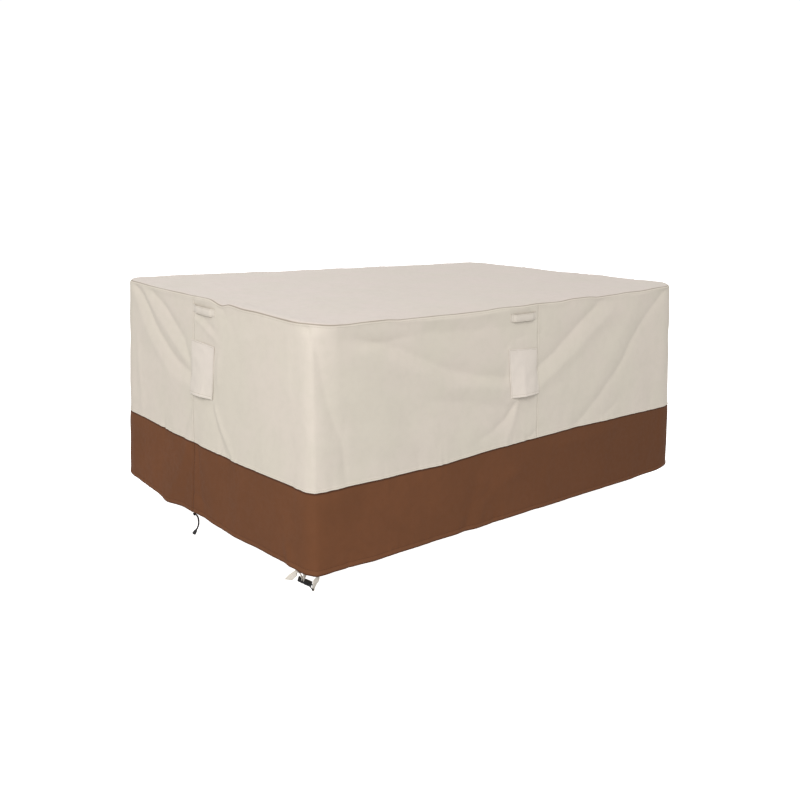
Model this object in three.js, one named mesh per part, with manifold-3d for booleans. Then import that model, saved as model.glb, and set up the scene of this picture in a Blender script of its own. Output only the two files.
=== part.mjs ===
// Fitted cloth cover for a patio dining set, in millimetres, +Z up.
// The origin lies under the middle of the top panel and the long side runs along X.
// The front side faces -Y and the left side faces -X.
import * as THREE from 'three';
import { mergeVertices } from 'three/addons/utils/BufferGeometryUtils.js';
import Module from 'manifold-3d';

const wasm = await Module();
wasm.setup();

// Driving dimensions.
const LENGTH = 1780;
const WIDTH = 1120;
const DROP = 711;
const CORNER = 95;
const CLOTH = 1.6;
const HEM_CLOTH = 3;
const HEM_BAND = 18;
const GAP = 0.3;
const LAP = 1.6;
const FLARE = { front: 52, right: 21, back: 9, left: 20 };

// How far each corner stands out at the hem, where the cloth hangs to a sharper edge than at the rim.
const CORNER_PUSH = { frontRight: 13, backRight: 16, backLeft: 6, frontLeft: 24 };
const SEAM_ALONG = { front: 52, right: -55, back: -52, left: 55 };

// Vent hoods: a patch sewn to the wall on three sides, standing open at its foot.
const HOOD = { width: 138, drop: 168, top: -138, stand: 21, cloth: 2.2, draw: 0.06, dip: 3 };
const WINDOW = { width: 84, drop: 90, top: -160, reach: 60 };
const HOOD_MIDDLE = { front: -24, right: 1, back: 25, left: -1 };
const HOOD_LEAN = { front: 12, right: 4, back: -6, left: -4 };

// Carry handles: a flat cloth strap sewn down at both ends.
const HANDLE = { length: 124, height: 25, stand: 15, cloth: 2.1, sag: 2 };
const HANDLE_TOP = { front: -26, right: -14, back: -18, left: -13 };
const HANDLE_MIDDLE = { front: -25, right: 8, back: 25, left: -8 };

// Corner strap, buckle and draw cord.
const WEB = { width: 20, cloth: 1.6 };
const STRAP_FOOT = new THREE.Vector2(-885, -585);
const BUCKLE = { across: -30.5, deep: 12, height: -733.5, dip: 24, width: 26, thick: 8.6, plate: 4 };
const CORD = { radius: 1.6, sides: 8, knot: 4.6 };
const CORD_FOOT = new THREE.Vector2(-907, 50);
const FACING = new THREE.Vector2(0.746, -0.666);

// Rows of a table as objects, one value for each named column.
function table(columns, rows) {
  const names = columns.split(' ');
  return rows.map((row) => Object.fromEntries(names.map((name, k) => [name, row[k]])));
}

// Heights of the three lines that run round the cover, where each rises or falls.
const RIM = table('side along height', [
  ['front', -700, -1], ['front', -440, -6], ['front', -180, -3], ['front', 140, -8], ['front', 400, -3],
  ['front', 700, 1], ['right', -450, 5], ['right', -150, -1], ['right', 150, -2], ['right', 450, -10],
  ['back', 700, -11], ['back', 300, -3], ['back', -100, -5], ['back', -500, 2], ['back', -760, 8],
  ['left', 480, 9], ['left', 300, 6], ['left', 110, 8], ['left', -30, 12], ['left', -107, 3],
  ['left', -190, 10], ['left', -400, 5], ['left', -500, 1],
]);
const COLOUR_SEAM = table('side along height', [
  ['front', -790, -462], ['front', -550, -465], ['front', -410, -468], ['front', -115, -460],
  ['front', 220, -457], ['front', 610, -461], ['front', 770, -464],
  ['right', -300, -459], ['right', 80, -466], ['right', 400, -461],
  ['back', 600, -465], ['back', 100, -459], ['back', -400, -466], ['back', -760, -461], ['left', 440, -457],
  ['left', 170, -466], ['left', -180, -469], ['left', -470, -463],
]);
const HEM = table('side along height', [
  ['front', -760, -705], ['front', -410, -707], ['front', -110, -711], ['front', 230, -715],
  ['front', 620, -717], ['front', 760, -716],
  ['right', -420, -706], ['right', -100, -712], ['right', 200, -707], ['right', 430, -711],
  ['back', 700, -708], ['back', 300, -714], ['back', -150, -707], ['back', -520, -713], ['back', -780, -704],
  ['left', 470, -699], ['left', 350, -708], ['left', 224, -719], ['left', 110, -709], ['left', 10, -707],
  ['left', -180, -713], ['left', -360, -706], ['left', -470, -704], ['left', -545, -709],
]);

// Folds in the cloth: each is a soft trough (push below zero) or ridge along a path of places,
// whose width and push change evenly from its start to its end.
const FOLDS = table('side width endWidth push endPush path', [
  ['front', 24, 28, -6, -7, [[-878, -24], [-846, -130], [-805, -262], [-777, -400]]],
  ['front', 45, 45, 3, 4, [[-790, -100], [-700, -230], [-600, -330]]],
  ['front', 24, 30, -8, -9, [[-715, -45], [-569, -88], [-405, -160], [-231, -215], [-95, -238]]],
  ['front', 40, 30, 4, 6, [[-690, -95], [-560, -140], [-365, -222], [-95, -274]]],
  ['front', 24, 24, 4, 3, [[-440, -18], [-290, -22], [-120, -24]]],
  ['front', 24, 24, -5, -4, [[-448, -50], [-280, -62], [-110, -68]]],
  ['front', 26, 28, -3, -5, [[-450, -258], [-280, -290], [-110, -325]]],
  ['front', 24, 24, -6, -4, [[-70, -326], [-183, -377], [-300, -418]]],
  ['front', 24, 24, 5, 3, [[-50, -314], [-82, -360], [-105, -425]]],
  ['front', 24, 24, -9, -8, [[375, -35], [222, -127], [66, -216]]],
  ['front', 36, 28, 4, 6, [[450, -90], [270, -190], [90, -270]]],
  ['front', 24, 26, -9, -7, [[792, -12], [640, -125], [491, -297], [346, -407], [290, -440]]],
  ['front', 50, 50, 5, 4, [[620, -30], [510, -170], [390, -320]]],
  ['front', 26, 26, -5, -5, [[-180, -600], [-268, -630], [-290, -690]]],
  ['front', 26, 28, 5, 5, [[-60, -560], [-140, -585], [-215, -620], [-235, -690]]],
  ['front', 26, 28, 4, 4, [[178, -507], [330, -512], [470, -500]]],
  ['front', 28, 28, -4, -4, [[-735, -500], [-687, -580], [-610, -635]]],
  ['left', 24, 28, -8, -8, [[438, -8], [332, -79], [208, -164], [80, -240]]],
  ['left', 24, 24, -7, -7, [[330, -14], [250, -70], [150, -150], [80, -205]]],
  ['left', 38, 40, 4, 5, [[455, -90], [370, -200], [250, -300]]],
  ['left', 24, 26, 3, 4, [[436, -180], [421, -290], [409, -410]]],
  ['left', 26, 30, 4, 4, [[-110, -180], [-230, -95], [-320, -45]]],
  ['left', 24, 24, 5, 5, [[-82, -335], [-115, -390], [-175, -450]]],
  ['left', 24, 24, -4, -4, [[64, -345], [89, -404], [104, -440]]],
  ['left', 24, 26, -5, -5, [[-478, -60], [-474, -460]]],
  ['left', 24, 30, 6, 8, [[100, -510], [155, -620], [224, -719]]],
  ['left', 24, 26, -5, -5, [[68, -530], [120, -660]]],
  ['left', 26, 22, 9, 9, [[-540, -20], [-530, -191], [-520, -413], [-518, -712]]],
  ['back', 26, 36, -8, -7, [[640, -30], [430, -190], [180, -330]]],
  ['back', 30, 36, -8, -6, [[-110, -260], [-430, -120], [-700, -40]]],
  ['back', 38, 38, 5, 5, [[-200, -330], [-480, -230], [-620, -160]]],
  ['back', 26, 36, -7, -7, [[-760, -30], [-610, -330], [-560, -440]]],
  ['back', 34, 40, 6, 6, [[300, -520], [520, -690]]],
  ['back', 34, 38, -6, -6, [[-420, -540], [-260, -700]]],
  ['back', 26, 22, 5, 6, [[-868, -30], [-868, -705]]],
  ['right', 26, 30, -8, -8, [[400, -30], [180, -200], [95, -250]]],
  ['right', 24, 28, 6, 5, [[-90, -330], [-250, -430]]],
  ['right', 28, 34, -7, -6, [[-420, -40], [-300, -260], [-250, -420]]],
  ['right', 34, 38, 5, 5, [[320, -300], [390, -460]]],
  ['right', 30, 36, -5, -6, [[-200, -520], [-320, -690]]],
  ['right', 26, 22, 6, 7, [[540, -30], [540, -705]]],
  ['front', 26, 22, 6, 7, [[868, -30], [868, -712]]],
]);

// The outline seen from above: four straight runs, each followed by a round corner.
const LONG_RUN = LENGTH - 2 * CORNER;
const SHORT_RUN = WIDTH - 2 * CORNER;
const ARC = (Math.PI / 2) * CORNER;
const SIDES = [
  { name: 'front', run: LONG_RUN, x: -LONG_RUN / 2, y: -WIDTH / 2, wayX: 1, wayY: 0 },
  { name: 'right', run: SHORT_RUN, x: LENGTH / 2, y: -SHORT_RUN / 2, wayX: 0, wayY: 1 },
  { name: 'back', run: LONG_RUN, x: LONG_RUN / 2, y: WIDTH / 2, wayX: -1, wayY: 0 },
  { name: 'left', run: SHORT_RUN, x: -LENGTH / 2, y: SHORT_RUN / 2, wayX: 0, wayY: -1 },
];
let walked = 0;
for (const side of SIDES) {
  side.start = walked;
  walked += side.run + ARC;
}
const AROUND = walked;

// Distance round the outline of a place on a side, given its own X or Y.
function station(name, along) {
  const side = SIDES.find((one) => one.name === name);
  const from = side.wayX ? side.x : side.y;
  return side.start + (along - from) * (side.wayX || side.wayY);
}

const wrapped = (distance) => THREE.MathUtils.euclideanModulo(distance, AROUND);

// Point and outward direction of the outline at a distance round it.
function outline(distance) {
  const s = wrapped(distance);
  const side = SIDES.filter((one) => one.start <= s).pop();
  const onRun = Math.min(s - side.start, side.run);
  const turn = Math.max(0, s - side.start - side.run) / CORNER;
  const outX = side.wayY * Math.cos(turn) + side.wayX * Math.sin(turn);
  const outY = -side.wayX * Math.cos(turn) + side.wayY * Math.sin(turn);
  const x = side.x + side.wayX * onRun + CORNER * (outX - side.wayY);
  const y = side.y + side.wayY * onRun + CORNER * (outY + side.wayX);
  return { x, y, outX, outY };
}

// A line of heights round the cover, eased from each named place to the next.
function lineOf(rows) {
  const knots = rows.map((row) => ({ at: station(row.side, row.along), height: row.height }));
  knots.sort((one, other) => one.at - other.at);
  const last = knots[knots.length - 1];
  knots.push({ at: knots[0].at + AROUND, height: knots[0].height });
  knots.unshift({ at: last.at - AROUND, height: last.height });
  return (distance) => {
    const s = wrapped(distance);
    const k = knots.findIndex((knot) => knot.at > s);
    const eased = THREE.MathUtils.smoothstep(s, knots[k - 1].at, knots[k].at);
    return THREE.MathUtils.lerp(knots[k - 1].height, knots[k].height, eased);
  };
}
const rimLine = lineOf(RIM);
const seamLine = lineOf(COLOUR_SEAM);
const hemLine = lineOf(HEM);

for (const fold of FOLDS) {
  fold.places = fold.path.map(([along, height]) => new THREE.Vector2(station(fold.side, along), height));
  fold.legs = fold.places.slice(1).map((place, k) => place.clone().sub(fold.places[k]));
  fold.middle = fold.places[0].x / 2 + fold.places[fold.legs.length].x / 2;
}

// Push of one fold at a place: it fades with the distance from the nearest point of the fold's path.
function pushOf(fold, s, z) {
  const place = new THREE.Vector2(s - AROUND * Math.round((s - fold.middle) / AROUND), z);
  let nearest = Infinity;
  let reached = 0;
  fold.legs.forEach((leg, k) => {
    const from = place.clone().sub(fold.places[k]);
    const share = THREE.MathUtils.clamp(from.dot(leg) / leg.lengthSq(), 0, 1);
    const away = from.addScaledVector(leg, -share).length();
    if (away < nearest) reached = (k + share) / fold.legs.length;
    nearest = Math.min(nearest, away);
  });
  const away = nearest / THREE.MathUtils.lerp(fold.width, fold.endWidth, reached);
  return THREE.MathUtils.lerp(fold.push, fold.endPush, reached) * Math.exp(-away * away);
}
const foldPush = (s, z) => FOLDS.reduce((push, fold) => push + pushOf(fold, s, z), 0);

// Share of the folds left at a place: the cloth lies flatter behind the hoods and along the rim.
// The distance to a hood is the shorter way round.
const CALM = { rim: 26, hoodIn: 18, hoodOut: 14, below: 24 };
function foldShare(s, z) {
  let share = THREE.MathUtils.smoothstep(rimLine(s) - z, 0, CALM.rim);
  const foot = HOOD.drop - HOOD.top;
  for (const side of SIDES) {
    const ahead = wrapped(s - station(side.name, HOOD_MIDDLE[side.name]));
    const across = Math.min(ahead, AROUND - ahead);
    const beside = THREE.MathUtils.smoothstep(across - HOOD.width / 2, -CALM.hoodIn, CALM.hoodOut);
    share *= Math.max(beside, THREE.MathUtils.smoothstep(-z, foot, foot + CALM.below));
  }
  return share;
}

// How far a corner is pushed out at the hem: all of it at the corner's middle, none on the straight runs.
function cornerPush(outX, outY) {
  const name = (outY > 0 ? 'back' : 'front') + (outX > 0 ? 'Right' : 'Left');
  return CORNER_PUSH[name] * (2 * Math.abs(outX * outY)) ** 3;
}

// Point of the hanging cloth at a distance round the outline and a height, moved out by some millimetres.
function hang(s, z, out = 0) {
  const { x, y, outX, outY } = outline(s);
  const depth = Math.max(0, -z) / DROP;
  const push = foldPush(s, z) * foldShare(s, z) + cornerPush(outX, outY) * depth + out;
  const spreadX = (outX > 0 ? FLARE.right : FLARE.left) * depth;
  const spreadY = (outY > 0 ? FLARE.back : FLARE.front) * depth;
  return new THREE.Vector3(x + outX * (spreadX + push), y + outY * (spreadY + push), z);
}

// Columns round the cover: even steps on each side, with one column on each upright seam.
const STEPS = { front: 42, right: 15, back: 24, left: 27, corner: 6 };
function columnsAround() {
  const columns = [];
  for (const side of SIDES) {
    const seam = station(side.name, SEAM_ALONG[side.name]);
    const before = Math.round((STEPS[side.name] * (seam - side.start)) / side.run);
    const after = STEPS[side.name] - before;
    const end = side.start + side.run;
    for (let k = 0; k < before; k += 1) columns.push(side.start + ((seam - side.start) * k) / before);
    for (let k = 0; k < after; k += 1) columns.push(seam + ((end - seam) * k) / after);
    for (let k = 0; k < STEPS.corner; k += 1) columns.push(end + (ARC * k) / STEPS.corner);
  }
  return columns;
}
const COLUMNS = columnsAround();

// Columns from one seam to another, each end held back by half a gap.
function columnsBetween(from, to) {
  const shifted = COLUMNS.concat(COLUMNS.map((s) => s + AROUND));
  const inside = shifted.filter((s) => s > from + 1 && s < to - 1);
  return [from + GAP / 2, ...inside, to - GAP / 2];
}

function geometryOf(positions, triangles) {
  const geometry = new THREE.BufferGeometry();
  geometry.setAttribute('position', new THREE.Float32BufferAttribute(positions, 3));
  geometry.setIndex(triangles);
  return geometry;
}

// Closed sheet between two grids of points: columns run anticlockwise seen from above, rows run down.
function sheet(columns, rows, outerAt, innerAt, ring = false) {
  const positions = [];
  for (const at of [outerAt, innerAt]) {
    for (const column of columns) for (const row of rows) positions.push(...at(column, row).toArray());
  }
  const tall = rows.length;
  const half = columns.length * tall;
  const steps = ring ? columns.length : columns.length - 1;
  const triangles = [];
  const quad = (a, b, c, d) => triangles.push(a, b, c, a, c, d);
  for (let i = 0; i < steps; i += 1) {
    const here = i * tall;
    const next = ((i + 1) % columns.length) * tall;
    for (let j = 0; j < tall - 1; j += 1) {
      quad(here + j, here + j + 1, next + j + 1, next + j);
      quad(half + here + j, half + next + j, half + next + j + 1, half + here + j + 1);
    }
    const foot = tall - 1;
    quad(here, next, half + next, half + here);
    quad(here + foot, half + here + foot, half + next + foot, next + foot);
  }
  if (!ring) {
    const end = steps * tall;
    for (let j = 0; j < tall - 1; j += 1) {
      quad(j, half + j, half + j + 1, j + 1);
      quad(end + j, end + j + 1, half + end + j + 1, half + end + j);
    }
  }
  return geometryOf(positions, triangles);
}

// Solids for cutting and joining.
function solidOf(geometry) {
  const bare = geometry.clone();
  bare.deleteAttribute('normal');
  bare.deleteAttribute('uv');
  const merged = mergeVertices(bare, 1e-4);
  const vertProperties = new Float32Array(merged.attributes.position.array);
  const triVerts = new Uint32Array(merged.index.array);
  return new wasm.Manifold(new wasm.Mesh({ numProp: 3, vertProperties, triVerts }));
}

function geometryFrom(solid) {
  const mesh = solid.getMesh();
  return geometryOf(Array.from(mesh.vertProperties), Array.from(mesh.triVerts));
}

const finish = (color, roughness, metalness = 0) => ({ color, roughness, metalness });
const BEIGE = finish(0xcfc8ba, 0.85);
const BROWN = finish(0x6b4934, 0.8);
const WEBBING = finish(0xd6d1c4, 0.9);
const BLACK = finish(0x0d0d0f, 0.45);

const cover = new THREE.Group();
function add(name, geometry, look) {
  const mesh = new THREE.Mesh(geometry, new THREE.MeshStandardMaterial(look));
  mesh.name = name;
  cover.add(mesh);
}

// Top panel: rings from the middle out to the rim, which rolls over a little.
const RIM_RISE = 2.6;
const LID_RINGS = table('scale inset drop', [[0.6, 0, 0], [1, 70, 0], [1, 9, 0.4], [1, 0, RIM_RISE]]);
const LIFT = { frontLeft: -1, frontRight: 5, backRight: -11, backLeft: 9 };
const LID_SWELLS = table('x y width rise', [
  [-620, -250, 260, 2.5],
  [-150, 150, 300, -2],
  [380, -180, 280, 2],
  [560, 250, 240, -2.5],
  [-500, 330, 220, 2],
]);
function lidHeight(x, y) {
  const u = x / LENGTH + 0.5;
  const v = y / WIDTH + 0.5;
  const front = THREE.MathUtils.lerp(LIFT.frontLeft, LIFT.frontRight, u);
  const back = THREE.MathUtils.lerp(LIFT.backLeft, LIFT.backRight, u);
  let height = THREE.MathUtils.lerp(front, back, v) - 0.5;
  for (const swell of LID_SWELLS) {
    height += swell.rise * Math.exp(-((x - swell.x) ** 2 + (y - swell.y) ** 2) / swell.width ** 2);
  }
  return height;
}
const LID_MIDDLE = lidHeight(0, 0);

const HALF_REACH = WIDTH / 2;
function lidPoint(s, ring, down) {
  const { x, y, outX, outY } = outline(s);
  const px = (x - outX * ring.inset) * ring.scale;
  const py = (y - outY * ring.inset) * ring.scale;
  const reach = ring.scale * (1 - ring.inset / HALF_REACH);
  const atRim = THREE.MathUtils.smoothstep(reach, 0.8, 1);
  const level = THREE.MathUtils.lerp(lidHeight(px, py) - LID_MIDDLE + CLOTH, rimLine(s) + RIM_RISE, atRim);
  return new THREE.Vector3(px, py, level - ring.drop - down);
}
function lid() {
  const positions = [];
  const triangles = [];
  const count = COLUMNS.length;
  for (const down of [0, CLOTH]) {
    positions.push(0, 0, CLOTH - down);
    for (const ring of LID_RINGS) {
      for (const s of COLUMNS) positions.push(...lidPoint(s, ring, down).toArray());
    }
  }
  const half = 1 + LID_RINGS.length * count;
  const at = (ring, k) => 1 + ring * count + (k % count);
  const quad = (a, b, c, d) => triangles.push(a, b, c, a, c, d);
  for (let k = 0; k < count; k += 1) {
    triangles.push(0, at(0, k), at(0, k + 1), half, half + at(0, k + 1), half + at(0, k));
    for (let ring = 0; ring < LID_RINGS.length - 1; ring += 1) {
      quad(at(ring, k), at(ring + 1, k), at(ring + 1, k + 1), at(ring, k + 1));
      quad(half + at(ring, k), half + at(ring, k + 1), half + at(ring + 1, k + 1), half + at(ring + 1, k));
    }
    const rim = LID_RINGS.length - 1;
    quad(at(rim, k), half + at(rim, k), half + at(rim, k + 1), at(rim, k + 1));
  }
  return geometryOf(positions, triangles);
}
add('top_panel', lid(), BEIGE);

// Wall cloth from just under the rim to the colour seam, where its edge laps out over the skirt.
const WALL_ROWS = [0, 0.06, 0.18, 0.32, 0.46, 0.6, 0.74, 0.87, 0.975, 1];
const SKIRT_ROWS = [0, 0.35, 0.68];
function wallHeight(s, share) {
  return THREE.MathUtils.lerp(rimLine(s) - CLOTH - GAP, seamLine(s) + GAP / 2, share);
}
const wallSkin = (out) => (s, share) => hang(s, wallHeight(s, share), out + (share === 1 ? LAP : 0));

function skirtHeight(s, share) {
  if (share > 1) return hemLine(s) + (share === 2 ? HEM_BAND : 0);
  return THREE.MathUtils.lerp(seamLine(s) - GAP / 2, hemLine(s) + HEM_BAND, share);
}
const HEM_ROWS = [...SKIRT_ROWS, 0.985, 2, 3];
const skirtSkin = (out, thick) => (s, share) => hang(s, skirtHeight(s, share), out + (share > 1 ? thick : 0));

// Closed body of everything within a gap of the cloth, for trimming what is sewn to it.
const TRIM = { wall: 170, behind: 12, hem: 260, outside: 20 };
function wallKeepOut(middle) {
  const twice = COLUMNS.concat(COLUMNS.map((s) => s + AROUND));
  const near = twice.filter((s) => Math.abs(s - middle) < TRIM.wall);
  return solidOf(sheet(near, WALL_ROWS, wallSkin(GAP), wallSkin(-TRIM.behind)));
}

function windowBox(side) {
  const s = station(side, HOOD_MIDDLE[side]);
  const { x, y, outX } = outline(s);
  const box = new THREE.BoxGeometry(
    outX ? WINDOW.reach : WINDOW.width,
    outX ? WINDOW.width : WINDOW.reach,
    WINDOW.drop,
  );
  box.translate(x, y, WINDOW.top - WINDOW.drop / 2);
  return solidOf(box);
}

const WALLS = table('name from to windows', [
  ['wall_front_left', 'left', 'front', ['left', 'front']],
  ['wall_front_right', 'front', 'right', []],
  ['wall_back_right', 'right', 'back', ['right', 'back']],
  ['wall_back_left', 'back', 'left', []],
]);
for (const wall of WALLS) {
  const from = station(wall.from, SEAM_ALONG[wall.from]);
  const to = station(wall.to, SEAM_ALONG[wall.to]);
  const columns = columnsBetween(from, to > from ? to : to + AROUND);
  let solid = solidOf(sheet(columns, WALL_ROWS, wallSkin(0), wallSkin(-CLOTH)));
  for (const side of wall.windows) solid = solid.subtract(windowBox(side));
  add(wall.name, geometryFrom(solid), BEIGE);
}

// Skirt: one strip whose ends meet at the left side's seam, with its hem folded up as a thick band.
const SKIRT_FROM = station('left', SEAM_ALONG.left);
const skirtColumns = columnsBetween(SKIRT_FROM, SKIRT_FROM + AROUND);
const hemSwell = (HEM_CLOTH - CLOTH) / 2;
add('skirt', sheet(skirtColumns, HEM_ROWS, skirtSkin(0, hemSwell), skirtSkin(-CLOTH, -hemSwell)), BROWN);

// Vent hoods, bowed out towards the mouth and trimmed to the wall they are sewn on.
const HOOD_GRID = { across: 8, down: 5 };
function hoodPoint(side, out) {
  const middle = station(side, HOOD_MIDDLE[side]);
  return (across, down) => {
    const s = middle + (across - 0.5) * HOOD.width * (1 - HOOD.draw * down) + HOOD_LEAN[side] * down;
    const bow = Math.sin(Math.PI * across) ** 0.8 * down ** 1.2;
    return hang(s, HOOD.top - HOOD.drop * down - HOOD.dip * bow, CLOTH + GAP + HOOD.stand * bow + out);
  };
}
const shares = (count) => Array.from({ length: count + 1 }, (_, k) => k / count);
for (const side of SIDES) {
  const middle = station(side.name, HOOD_MIDDLE[side.name]);
  const patch = sheet(
    shares(HOOD_GRID.across),
    shares(HOOD_GRID.down),
    hoodPoint(side.name, 0),
    hoodPoint(side.name, -HOOD.cloth),
  );
  add(`vent_hood_${side.name}`, geometryFrom(solidOf(patch).subtract(wallKeepOut(middle))), BEIGE);
}

// Carry handles, standing off the wall between their sewn ends.
const HANDLE_BEND = table('along out', [
  [-1, 0], [-0.84, 0], [-0.62, 0.8], [-0.3, 0.98], [0, 1], [0.3, 0.98], [0.62, 0.8], [0.84, 0], [1, 0],
]);
function handlePoint(side, out) {
  const middle = station(side, HANDLE_MIDDLE[side]);
  return (bend, row) => {
    const s = middle + (bend.along * HANDLE.length) / 2;
    const z = HANDLE_TOP[side] - row * HANDLE.height - HANDLE.sag * bend.out;
    return hang(s, z, CLOTH + GAP + HANDLE.stand * bend.out + out);
  };
}
for (const side of SIDES) {
  const middle = station(side.name, HANDLE_MIDDLE[side.name]);
  const outer = handlePoint(side.name, 0);
  const inner = handlePoint(side.name, -HANDLE.cloth);
  const strap = solidOf(sheet(HANDLE_BEND, [0, 0.5, 1], outer, inner));
  add(`handle_${side.name}`, geometryFrom(strap.subtract(wallKeepOut(middle))), BEIGE);
}

// Upright frame of the corner strap: across runs along the cut corner, deep runs in under the cover.
const ACROSS = new THREE.Vector3(FACING.x, FACING.y, 0).normalize();
const DEEP = new THREE.Vector3(-ACROSS.y, ACROSS.x, 0);
const UP = new THREE.Vector3(0, 0, 1);
function strapPlace(across, deep, height) {
  return new THREE.Vector3(STRAP_FOOT.x, STRAP_FOOT.y, 0)
    .addScaledVector(ACROSS, across)
    .addScaledVector(DEEP, deep)
    .addScaledVector(UP, height);
}

// Webbing along a row of places, its width turned from deep towards across by some degrees.
function webbing(rows, fine) {
  const places = rows.map((row) => strapPlace(row.across, row.deep, row.height));
  const path = new THREE.CatmullRomCurve3(places, false, 'centripetal');
  const stations = shares((rows.length - 1) * fine).map((share) => {
    const at = share * (rows.length - 1);
    const k = Math.min(Math.floor(at), rows.length - 2);
    const turn = THREE.MathUtils.degToRad(THREE.MathUtils.lerp(rows[k].turn, rows[k + 1].turn, at - k));
    const centre = path.getPoint(share);
    const way = path.getTangent(share);
    const broad = DEEP.clone().multiplyScalar(Math.cos(turn)).addScaledVector(ACROSS, Math.sin(turn));
    broad.addScaledVector(way, -broad.dot(way)).normalize();
    return { centre, broad, thin: new THREE.Vector3().crossVectors(way, broad) };
  });
  const face = (sign) => (place, edge) => place.centre.clone()
    .addScaledVector(place.broad, (edge * WEB.width) / 2)
    .addScaledVector(place.thin, (sign * WEB.cloth) / 2);
  return sheet(stations, [-1, 1], face(-1), face(1));
}

// Buckle frame: along from the tab of the tongue to the bar of the socket, dipping across the corner.
const DIP = THREE.MathUtils.degToRad(BUCKLE.dip);
const ALONG_BUCKLE = ACROSS.clone().multiplyScalar(Math.cos(DIP)).addScaledVector(UP, -Math.sin(DIP));
const OVER_BUCKLE = new THREE.Vector3().crossVectors(ALONG_BUCKLE, DEEP);
const buckleFrame = new THREE.Matrix4().makeBasis(ALONG_BUCKLE, DEEP, OVER_BUCKLE);
buckleFrame.setPosition(strapPlace(BUCKLE.across, BUCKLE.deep, BUCKLE.height));

// The same place in the strap's rows, for a point of the buckle's long section.
function onBuckle(along, over, turn = 0) {
  const across = BUCKLE.across + along * Math.cos(DIP) + over * Math.sin(DIP);
  const height = BUCKLE.height - along * Math.sin(DIP) + over * Math.cos(DIP);
  return { across, deep: BUCKLE.deep, height, turn };
}

const LADDER = { bar: -6, slot: 3.2, barWide: 2.8 };
const webIn = LADDER.bar + LADDER.barWide / 2 + LADDER.slot / 2;
const webOut = LADDER.bar - LADDER.barWide / 2 - LADDER.slot / 2;
const UNDER_LADDER = table('away over', [
  [3, 2.2], [2.9, -2.4], [2.2, -4.3], [0, -4.9], [-2.2, -4.3], [-2.9, -2.4], [-3, 2.2],
]);
const longWeb = [
  ...table('across deep height turn', [[-27, 9, -690, 40], [-28, 11, -707, 30], [-29, 12, -717, 24]]),
  onBuckle(webIn + 0.3, 8, 10),
  ...UNDER_LADDER.map((row) => onBuckle(LADDER.bar + row.away, row.over)),
  onBuckle(webOut - 0.3, 8),
  ...table('across deep height turn', [
    [-38.5, 14, -719, -8], [-43.5, 18, -713.5, -22], [-51.5, 23, -711.5, -36], [-60, 25, -719.5, -44],
    [-67, 26, -729, -48], [-70.5, 27, -736.5, -36], [-69, 28, -742, -20],
  ]),
];
const BAR = { along: 33, over: -9.5, radius: 1.3, loop: 3.3, tail: 5 };
const LOOP_TURNS = [20, -20, -60, -100, -140, -180];
const shortWeb = [
  ...table('across deep height turn', [
    [11, 5, -690, 34], [10, 5.5, -706, 18], [8.5, 7, -715, 24], [5.5, 9, -723, 48], [3, 11, -732, 56],
    [0.5, 12, -743, 30],
  ]),
  ...LOOP_TURNS.map((turn) => THREE.MathUtils.degToRad(turn)).map((turn) => onBuckle(
    BAR.along + BAR.loop * Math.cos(turn),
    BAR.over + BAR.loop * Math.sin(turn),
  )),
  onBuckle(BAR.along - BAR.loop, BAR.over + BAR.tail),
];

// Webbing is sewn inside the hem, so it is trimmed to the skirt's inner face.
function skirtKeepOut() {
  const middle = station('front', -LENGTH / 2);
  const twice = COLUMNS.map((s) => s - AROUND).concat(COLUMNS);
  const near = twice.filter((s) => Math.abs(s - middle) < TRIM.hem);
  return solidOf(sheet(near, HEM_ROWS, skirtSkin(TRIM.outside, 0), skirtSkin(-CLOTH - GAP, -hemSwell)));
}
const keepOutOfSkirt = skirtKeepOut();
add('strap_web_long', geometryFrom(solidOf(webbing(longWeb, 2)).subtract(keepOutOfSkirt)), WEBBING);
add('strap_web_short', geometryFrom(solidOf(webbing(shortWeb, 2)).subtract(keepOutOfSkirt)), WEBBING);

// Tongue of the buckle: ladder bars in a thick tab, a middle guide and two sprung prongs.
const TONGUE_EDGE = table('x y', [
  [-20, 10.5], [-18.4, 12.5], [0.4, 12.5], [0.4, 10.2], [4.8, 10.2], [6, 12.2], [9, 12.2], [11, 9.6],
  [11, 6.8], [1.8, 6.8], [1.8, 2.6], [13, 2.6],
]);
const TAB = { from: -19.5, to: 0.2, half: 12, thick: 6.4 };
function block(x0, x1, y0, y1, z0, z1) {
  const box = new THREE.BoxGeometry(x1 - x0, y1 - y0, z1 - z0);
  return solidOf(box.translate((x0 + x1) / 2, (y0 + y1) / 2, (z0 + z1) / 2));
}
function tongue() {
  const edge = TONGUE_EDGE.map((point) => new THREE.Vector2(point.x, point.y));
  const mirrored = TONGUE_EDGE.map((point) => new THREE.Vector2(point.x, -point.y)).reverse();
  const plate = new THREE.Shape([...mirrored, ...edge]);
  const flat = new THREE.ExtrudeGeometry(plate, { depth: BUCKLE.plate, bevelEnabled: false });
  let solid = solidOf(flat.translate(0, 0, -BUCKLE.plate / 2));
  solid = solid.add(block(TAB.from, TAB.to, -TAB.half, TAB.half, -TAB.thick / 2, TAB.thick / 2));
  const half = LADDER.slot / 2;
  const reach = WEB.width / 2 + 1;
  for (const middle of [webIn, webOut]) {
    solid = solid.subtract(block(middle - half, middle + half, -reach, reach, -TAB.thick, TAB.thick));
  }
  return geometryFrom(solid).applyMatrix4(buckleFrame);
}
add('buckle_tongue', tongue(), BLACK);

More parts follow.
